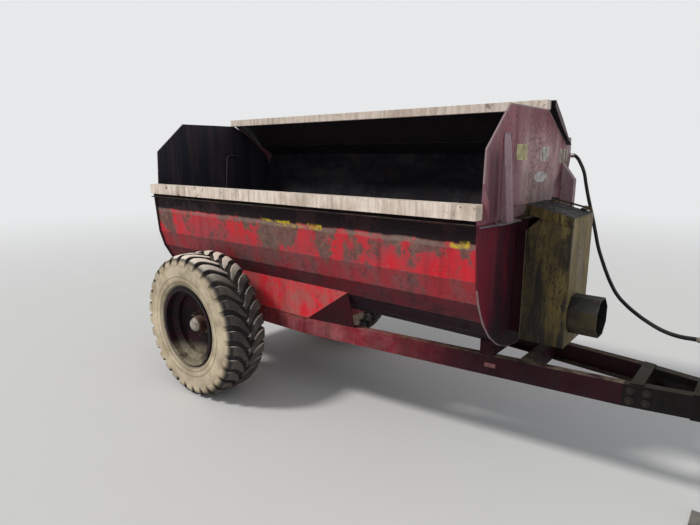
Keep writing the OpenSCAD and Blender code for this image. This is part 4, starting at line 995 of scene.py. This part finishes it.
class SPREADER_OT_tyres(bpy.types.Operator):
    """Lugged tyres with moulded rings, spun from one section, with lugs drawn out of the tread"""
    bl_idname = "spreader.tyres"
    bl_label = "Tyres"

    def execute(self, context):
        half = [(v, r) for v, r, _, _ in TYRE_TREAD] + TYRE_WALL + TYRE_INNER
        section = half + [(0.0, 0.538)] + [(-v, r) for v, r in reversed(half[1:])]
        nothing_selected()
        bpy.ops.mesh.primitive_circle_add(vertices=len(section), radius=0.1)
        tyre = context.object
        for vertex, (v, r) in zip(tyre.data.vertices, section):
            vertex.co = (0.0, -v, r)
        select_all()
        rows = sizes().lug_rows
        bpy.ops.mesh.spin(steps=rows * LUG_COLUMNS, angle=math.tau, center=(0, 0, 0), axis=(0, 1, 0))
        bpy.ops.mesh.select_all(action="SELECT")
        bpy.ops.mesh.remove_doubles(threshold=0.00005)
        bpy.ops.mesh.normals_make_consistent(inside=False)
        bpy.ops.mesh.select_mode(type="FACE")
        bpy.ops.mesh.select_all(action="DESELECT")
        mode("OBJECT")
        ring_of = {(round(v, 4), round(r, 4)): i for i, (v, r, _, _) in enumerate(TYRE_TREAD)}

        def ring(point):
            """The row of the tread that a point stands on, or -1."""
            return ring_of.get((round(abs(point.y), 4), round(math.hypot(point.x, point.z), 4)), -1)

        mesh = tyre.data
        rings = [ring(vertex.co) for vertex in mesh.vertices]
        # Each lug covers a run of columns that is narrower at the middle of the tread
        pitch = math.tau / rows
        for face in mesh.polygons:
            marks = [rings[i] for i in face.vertices]
            low, high = min(marks), max(marks)
            if low < 0 or low == high or high > LUG_END or len(marks) != 4:
                continue
            middle = sum((mesh.vertices[i].co for i in face.vertices), Vector()) / 4
            angle = math.atan2(middle.x, middle.z) + (0.0 if middle.y < 0 else pitch / 2)
            face.select = abs((angle / pitch) % 1.0 - 0.5) * LUG_COLUMNS < LUG_WIDTHS[low] / 2
        mode("EDIT")
        bpy.ops.mesh.extrude_region()
        mode("OBJECT")
        for vertex in tyre.data.vertices:
            x, y, z = vertex.co
            across, radius, angle = abs(y), math.hypot(x, z), math.atan2(x, z)
            index = ring(vertex.co)
            if index >= 0:
                angle += lug_turn(across)
            elif across > 0.15 and radius > 0.30:
                angle += lug_turn(LUG_RUN[-1][0])
            if vertex.select and index >= 0:
                _, _, across, radius = TYRE_TREAD[index]
                y = math.copysign(across, y)
            vertex.co = (radius * math.sin(angle), y, radius * math.cos(angle))
        mode("EDIT")
        bpy.ops.mesh.region_to_loop()
        bpy.ops.mesh.bevel(offset=0.0035, segments=2, affect="EDGES", clamp_overlap=True)
        outwards()
        smooth(tyre, 40)
        finish = tyre_finish()
        for name, sign in (("tyre_near", 1.0), ("tyre_far", -1.0)):
            mesh = tyre.data.copy()
            mesh.transform(Matrix.Translation((AXLE.x, -WHEEL_Y * sign, AXLE.z))
                           @ Matrix.Diagonal((1.0, sign, 1.0, 1.0)))
            wheel = linked("rubber", mesh)
            if sign < 0:
                only(wheel)
                outwards()
            settle(wheel, "lugged_" + name, finish, name.replace("tyre", "wheel"))
            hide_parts(name)
        bpy.data.objects.remove(tyre)
        return {"FINISHED"}


class SPREADER_OT_wheel_fittings(bpy.types.Operator):
    """Wheel nuts on their studs, a hub cap, and the tyre valve"""
    bl_idname = "spreader.wheel_fittings"
    bl_label = "Wheel fittings"

    def execute(self, context):
        give(rim_finish(), "rim_near", "rim_far")
        give(steel_finish("hub_iron", rgb(92, 74, 66), 0.85, 0.55, 2.0, 0.3), "hub_near", "hub_far")
        nut_steel = steel_finish("nut_steel", rgb(120, 108, 96), 0.7, 0.45, 8.0, 0.5)
        cap_paint = flat_finish("hub_cap_paint", rgb(176, 170, 158), rgb(138, 130, 118), 0.45, 22.0,
                                4.0, 0.5)
        rubber = flat_finish("valve_rubber", rgb(30, 30, 32), rgb(60, 56, 52), 0.5, 40.0, 5.0, 0.1)
        for name, sign in (("near", -1.0), ("far", 1.0)):
            out = (0.0, sign, 0.0)
            places = [facing(by_wheel(0.1025, math.tau * (i + 0.5) / 6, sign, 0.024), out, i * 0.7)
                      for i in range(6)]
            nuts = copies(hex_bolt(sizes().nut, 0.017, 0.014), places)
            settle(nuts, "wheel_nuts_" + name, nut_steel, "wheel_" + name)
            # Domed cap over the hub's end
            cap = cylinder(40, 0.056, 0.016)
            select_faces(cap)
            for inset, rise in ((0.006, 0.0), (0.004, 0.014), (0.010, 0.007), (0.014, 0.003)):
                bpy.ops.mesh.inset(thickness=inset)
                bpy.ops.transform.translate(value=(0, 0, rise))
            mode("OBJECT")
            bevelled(cap, 0.0015, 2, 40)
            cap.data.transform(facing(by_wheel(0.0, 0.0, sign, 0.0795), out))
            smooth(cap, 40)
            settle(cap, "hub_cap_" + name, cap_paint, "wheel_" + name)
            # Valve through the rim's well, leaning towards the axle
            valve = cylinder(16, 0.0055, 0.042)
            select_faces(valve)
            bpy.ops.mesh.inset(thickness=0.0018)
            bpy.ops.mesh.extrude_region_move(TRANSFORM_OT_translate={"value": (0, 0, 0.010)})
            mode("OBJECT")
            bevelled(valve, 0.0008, 1)
            angle = math.radians(205)
            leaning = (-0.25 * math.cos(angle), sign, -0.25 * math.sin(angle))
            valve.data.transform(facing(by_wheel(0.252, angle, sign, 0.062), leaning))
            smooth(valve)
            settle(valve, "tyre_valve_" + name, rubber, "wheel_" + name)
        return {"FINISHED"}


# Labels: name, near and far side, foot and top, light and dim paper
LABELS = (("label_near", -0.180, -0.014, 1.921, 2.017, rgb(196, 184, 140), rgb(158, 146, 108)),
          ("label_middle", 0.222, 0.374, 1.910, 2.002, rgb(196, 190, 180), rgb(146, 138, 134)),
          ("label_far", 0.589, 0.771, 1.894, 1.992, rgb(176, 168, 148), rgb(132, 122, 112)))


class SPREADER_OT_labels(bpy.types.Operator):
    """Blank faded labels on the front end plate, and its pale oval"""
    bl_idname = "spreader.labels"
    bl_label = "Labels"

    def execute(self, context):
        thick = sizes().label
        for name, y0, y1, z0, z1, light, dim in LABELS:
            y, z, wide, high = (y0 + y1) / 2, (z0 + z1) / 2, y1 - y0, z1 - z0
            nothing_selected()
            bpy.ops.mesh.primitive_plane_add(size=1.0)
            label = sized(wide, high, 1.0)
            select_all()
            bpy.ops.mesh.bevel(offset=0.006, segments=3, affect="VERTICES")
            bpy.ops.mesh.select_all(action="SELECT")
            bpy.ops.mesh.inset(thickness=0.008)
            mode("OBJECT")
            solid = label.modifiers.new("thickness", "SOLIDIFY")
            solid.thickness, solid.offset = thick, 1.0
            bpy.ops.object.modifier_apply(modifier=solid.name)
            label.data.transform(facing(at(LABEL_GAP, y, z), (1, 0, 0)))
            p = Paint(name + "_finish")
            fine = p.noise(110.0, 5.0, 0.7, shift=y0 * 9)
            cloud = p.noise(19.0, 4.0, 0.65, shift=y0 * 5)
            border = p.most(*(p.step(abs(place - centre), size / 2 - 0.013, size / 2 - 0.010)
                              for place, centre, size in ((p.y, y, wide), (p.z, z, high))))
            p.coat = p.mix(p.step(cloud, 0.42, 0.62), light, dim)
            p.lay((1 - border) * 0.35, dim)
            p.lay(p.step(fine * 0.5 + cloud * 0.5, 0.55, 0.6) * 0.8, rgb(112, 92, 98))
            settle(label, name, p.done(0.55 + fine * 0.2, fine, 0.0004, edge=0.0), "frame")
        cylinder(56, 0.5, thick)
        oval = sized(0.232, 0.070, 1.0)
        select_faces(oval)
        bpy.ops.mesh.inset(thickness=0.006)
        mode("OBJECT")
        oval.data.transform(facing(at(LABEL_GAP, 0.2515, 1.8085), (1, 0, 0)))
        p = Paint("oval_finish")
        fine = p.noise(90.0, 5.0, 0.7, shift=3.0)
        cloud = p.noise(22.0, 4.0, 0.65, shift=6.0)
        p.coat = p.mix(p.step(cloud, 0.4, 0.62), rgb(188, 184, 180), rgb(150, 140, 140))
        p.lay(p.step(fine * 0.5 + cloud * 0.5, 0.54, 0.6) * 0.7, rgb(120, 100, 106))
        settle(oval, "pale_oval", p.done(0.5 + fine * 0.2, fine, 0.0004, edge=0.0), "frame")
        return {"FINISHED"}


class SPREADER_OT_welds(bpy.types.Operator):
    """Hand-laid weld beads along the ribs, the saddles and the case"""
    bl_idname = "spreader.welds"
    bl_label = "Welds"

    def execute(self, context):
        r = sizes().weld
        weld, red, oily = (
            worn_paint(name, coat, bare, 0.6, size, chips, seed=seed, grime=grime)
            for name, coat, bare, size, chips, seed, grime in (
                ("weld_paint", rgb(96, 62, 66), rgb(110, 90, 84), 12.0, 0.7, 6.0, 0.5),
                ("weld_red", rgb(110, 34, 42), rgb(96, 66, 60), 12.0, 0.7, 1.0, 0.6),
                ("weld_olive", rgb(72, 64, 42), rgb(104, 94, 72), 14.0, 0.5, 3.0, 0.8)))
        # Both sides of the near and the far rib
        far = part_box("ribs_front")[1].y
        plate = [bead(r, at(0.001, y, 1.568), at(0.001, y, top)) for y, top in
                 ((-0.372, 2.076), (-0.272, 2.076), (far - 0.061, 1.99), (far + 0.001, 1.99))]
        settle(joined(plate), "rib_welds", weld, "frame")
        rear = [bead(r, (REAR - 0.001, y, 1.04), (REAR - 0.001, y, 2.075))
                for y in (-0.372, -0.272, 0.272, 0.372)]
        settle(joined(rear), "rear_rib_welds", weld, "frame")
        seams = [bead(r, at(-3.16, y, 0.704), at(-1.478, y, 0.704)) for y in (-0.4855, 0.4855)]
        settle(joined(seams), "saddle_welds", red, "frame")
        # Case to plate, the near edge of the case's front, and round the shaft guard
        round_guard = [at(CASE_FRONT, 0.120 * math.cos(a), INPUT_Z + 0.120 * math.sin(a))
                       for a in (math.radians(22.5 + 45 * i) for i in range(9))]
        case = [bead(r * 0.8, at(0.075, -0.1355, 1.500), at(0.075, -0.1355, 0.80)),
                bead(r * 0.8, at(CASE_FRONT, -0.135, 1.590), at(CASE_FRONT, -0.135, 0.797)),
                bead(r * 0.8, *round_guard)]
        settle(joined(case), "case_welds", oily, "frame")
        return {"FINISHED"}


class SPREADER_OT_bolts(bpy.types.Operator):
    """Bolts of the bearings, the drawbar splice and the ledge, with their washers"""
    bl_idname = "spreader.bolts"
    bl_label = "Bolts"

    def execute(self, context):
        steel = steel_finish("bolt_steel", rgb(112, 102, 92), 0.7, 0.45, 5.0, 0.5)
        oily = flat_finish("splice_bolt_steel", rgb(40, 34, 28), rgb(22, 20, 18), 0.55, 60.0, 3.0, 0.2)
        flanges = ((-3.326, -1, BARREL_Z), (0.096, 1, BARREL_Z), (0.096, 1, INPUT_Z), (0.364, 1, INPUT_Z))
        bearings = [facing(at(x, dy, z + dz), (sign, 0, 0), dy * 9)
                    for x, sign, z in flanges for dy in (-0.051, 0.051) for dz in (-0.051, 0.051)]
        splice = [facing(*beside(BEAM_TAPER, x, sign, z), z * 9)
                  for sign in (-1, 1) for x in (0.745, 0.825) for z in (0.607, 0.667)]
        ledge = [facing(at(x, y, 1.565), (0, 0, 1), y * 7) for x, y in
                 ((0.022, -0.470), (0.026, -0.215), (0.026, 0.345), (0.030, 0.470))]
        for name, places, finish, across, height, stud in (
                ("bearing_bolts", bearings, steel, 0.019, 0.0095, 0.006),
                ("splice_bolts", splice, oily, sizes().bolt, 0.013, 0.010),
                ("ledge_bolts", ledge, steel, 0.017, 0.0085, 0.006)):
            settle(copies(hex_bolt(across, height, stud), places), name, finish, "frame")
        return {"FINISHED"}


class SPREADER_OT_reflectors(bpy.types.Operator):
    """Faded reflectors with a raised rim, in place of their plain blocks"""
    bl_idname = "spreader.reflectors"
    bl_label = "Reflectors"

    def execute(self, context):
        p = Paint("reflector_finish")
        fine = p.noise(300.0, 3.0, 0.6, shift=1.0)
        cloud = p.noise(30.0, 4.0, 0.6, shift=4.0)
        prism = p.cells(420.0)
        p.coat = p.mix(p.step(cloud, 0.35, 0.65), rgb(112, 66, 68), rgb(84, 44, 48))
        p.lay(p.step(prism, 0.2, 0.6) * 0.3, rgb(150, 100, 98))
        lens = p.done(0.3 + fine * 0.2, prism, 0.0006, edge=0.0)
        lamps = []
        for sign in (-1, 1):
            nothing_selected()
            bpy.ops.mesh.primitive_cube_add(size=1.0)
            lamp = sized(0.028, 0.070, 0.0035)
            select_faces(lamp)
            bpy.ops.mesh.inset(thickness=0.003)
            bpy.ops.mesh.extrude_region_move(TRANSFORM_OT_translate={"value": (0, 0, -0.0012)})
            bpy.ops.mesh.inset(thickness=0.001)
            bpy.ops.transform.translate(value=(0, 0, 0.0018))
            mode("OBJECT")
            bevelled(lamp, 0.0004, 2)
            point, out = beside(RAIL_TAPER, -0.036, sign, 0.641)
            lamp.data.transform(facing(point + out * 0.0023, out, math.pi / 2))
            lamps.append(lamp)
        both = joined(lamps)
        smooth(both, 30)
        settle(both, "reflector_lenses", lens, "frame")
        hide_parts("reflectors")
        return {"FINISHED"}


STEPS = (SPREADER_OT_studio, SPREADER_OT_hose, SPREADER_OT_paint_hull, SPREADER_OT_paint_chassis,
         SPREADER_OT_paint_drive, SPREADER_OT_tyres, SPREADER_OT_wheel_fittings, SPREADER_OT_labels,
         SPREADER_OT_welds, SPREADER_OT_bolts, SPREADER_OT_reflectors)


class SPREADER_PT_panel(bpy.types.Panel):
    """Lists the steps and the values"""
    bl_idname = "SPREADER_PT_panel"
    bl_label = "Manure spreader"
    bl_space_type = "VIEW_3D"
    bl_region_type = "UI"
    bl_category = "Spreader"

    def draw(self, context):
        for step in STEPS:
            self.layout.operator(step.bl_idname)
        for group in (context.scene.spreader_colours, context.scene.spreader_sizes):
            box = self.layout.box()
            for name in group.__annotations__:
                box.prop(group, name)


CLASSES = (SpreaderColours, SpreaderSizes, *STEPS, SPREADER_PT_panel)


def register():
    for item in CLASSES:
        bpy.utils.register_class(item)
    bpy.types.Scene.spreader_colours = bpy.props.PointerProperty(type=SpreaderColours)
    bpy.types.Scene.spreader_sizes = bpy.props.PointerProperty(type=SpreaderSizes)


def unregister():
    del bpy.types.Scene.spreader_sizes
    del bpy.types.Scene.spreader_colours
    for item in reversed(CLASSES):
        bpy.utils.unregister_class(item)


def main():
    register()
    nothing_selected()
    for step in STEPS:
        group, name = step.bl_idname.split(".")
        getattr(getattr(bpy.ops, group), name)()


if __name__ == "__main__":
    main()
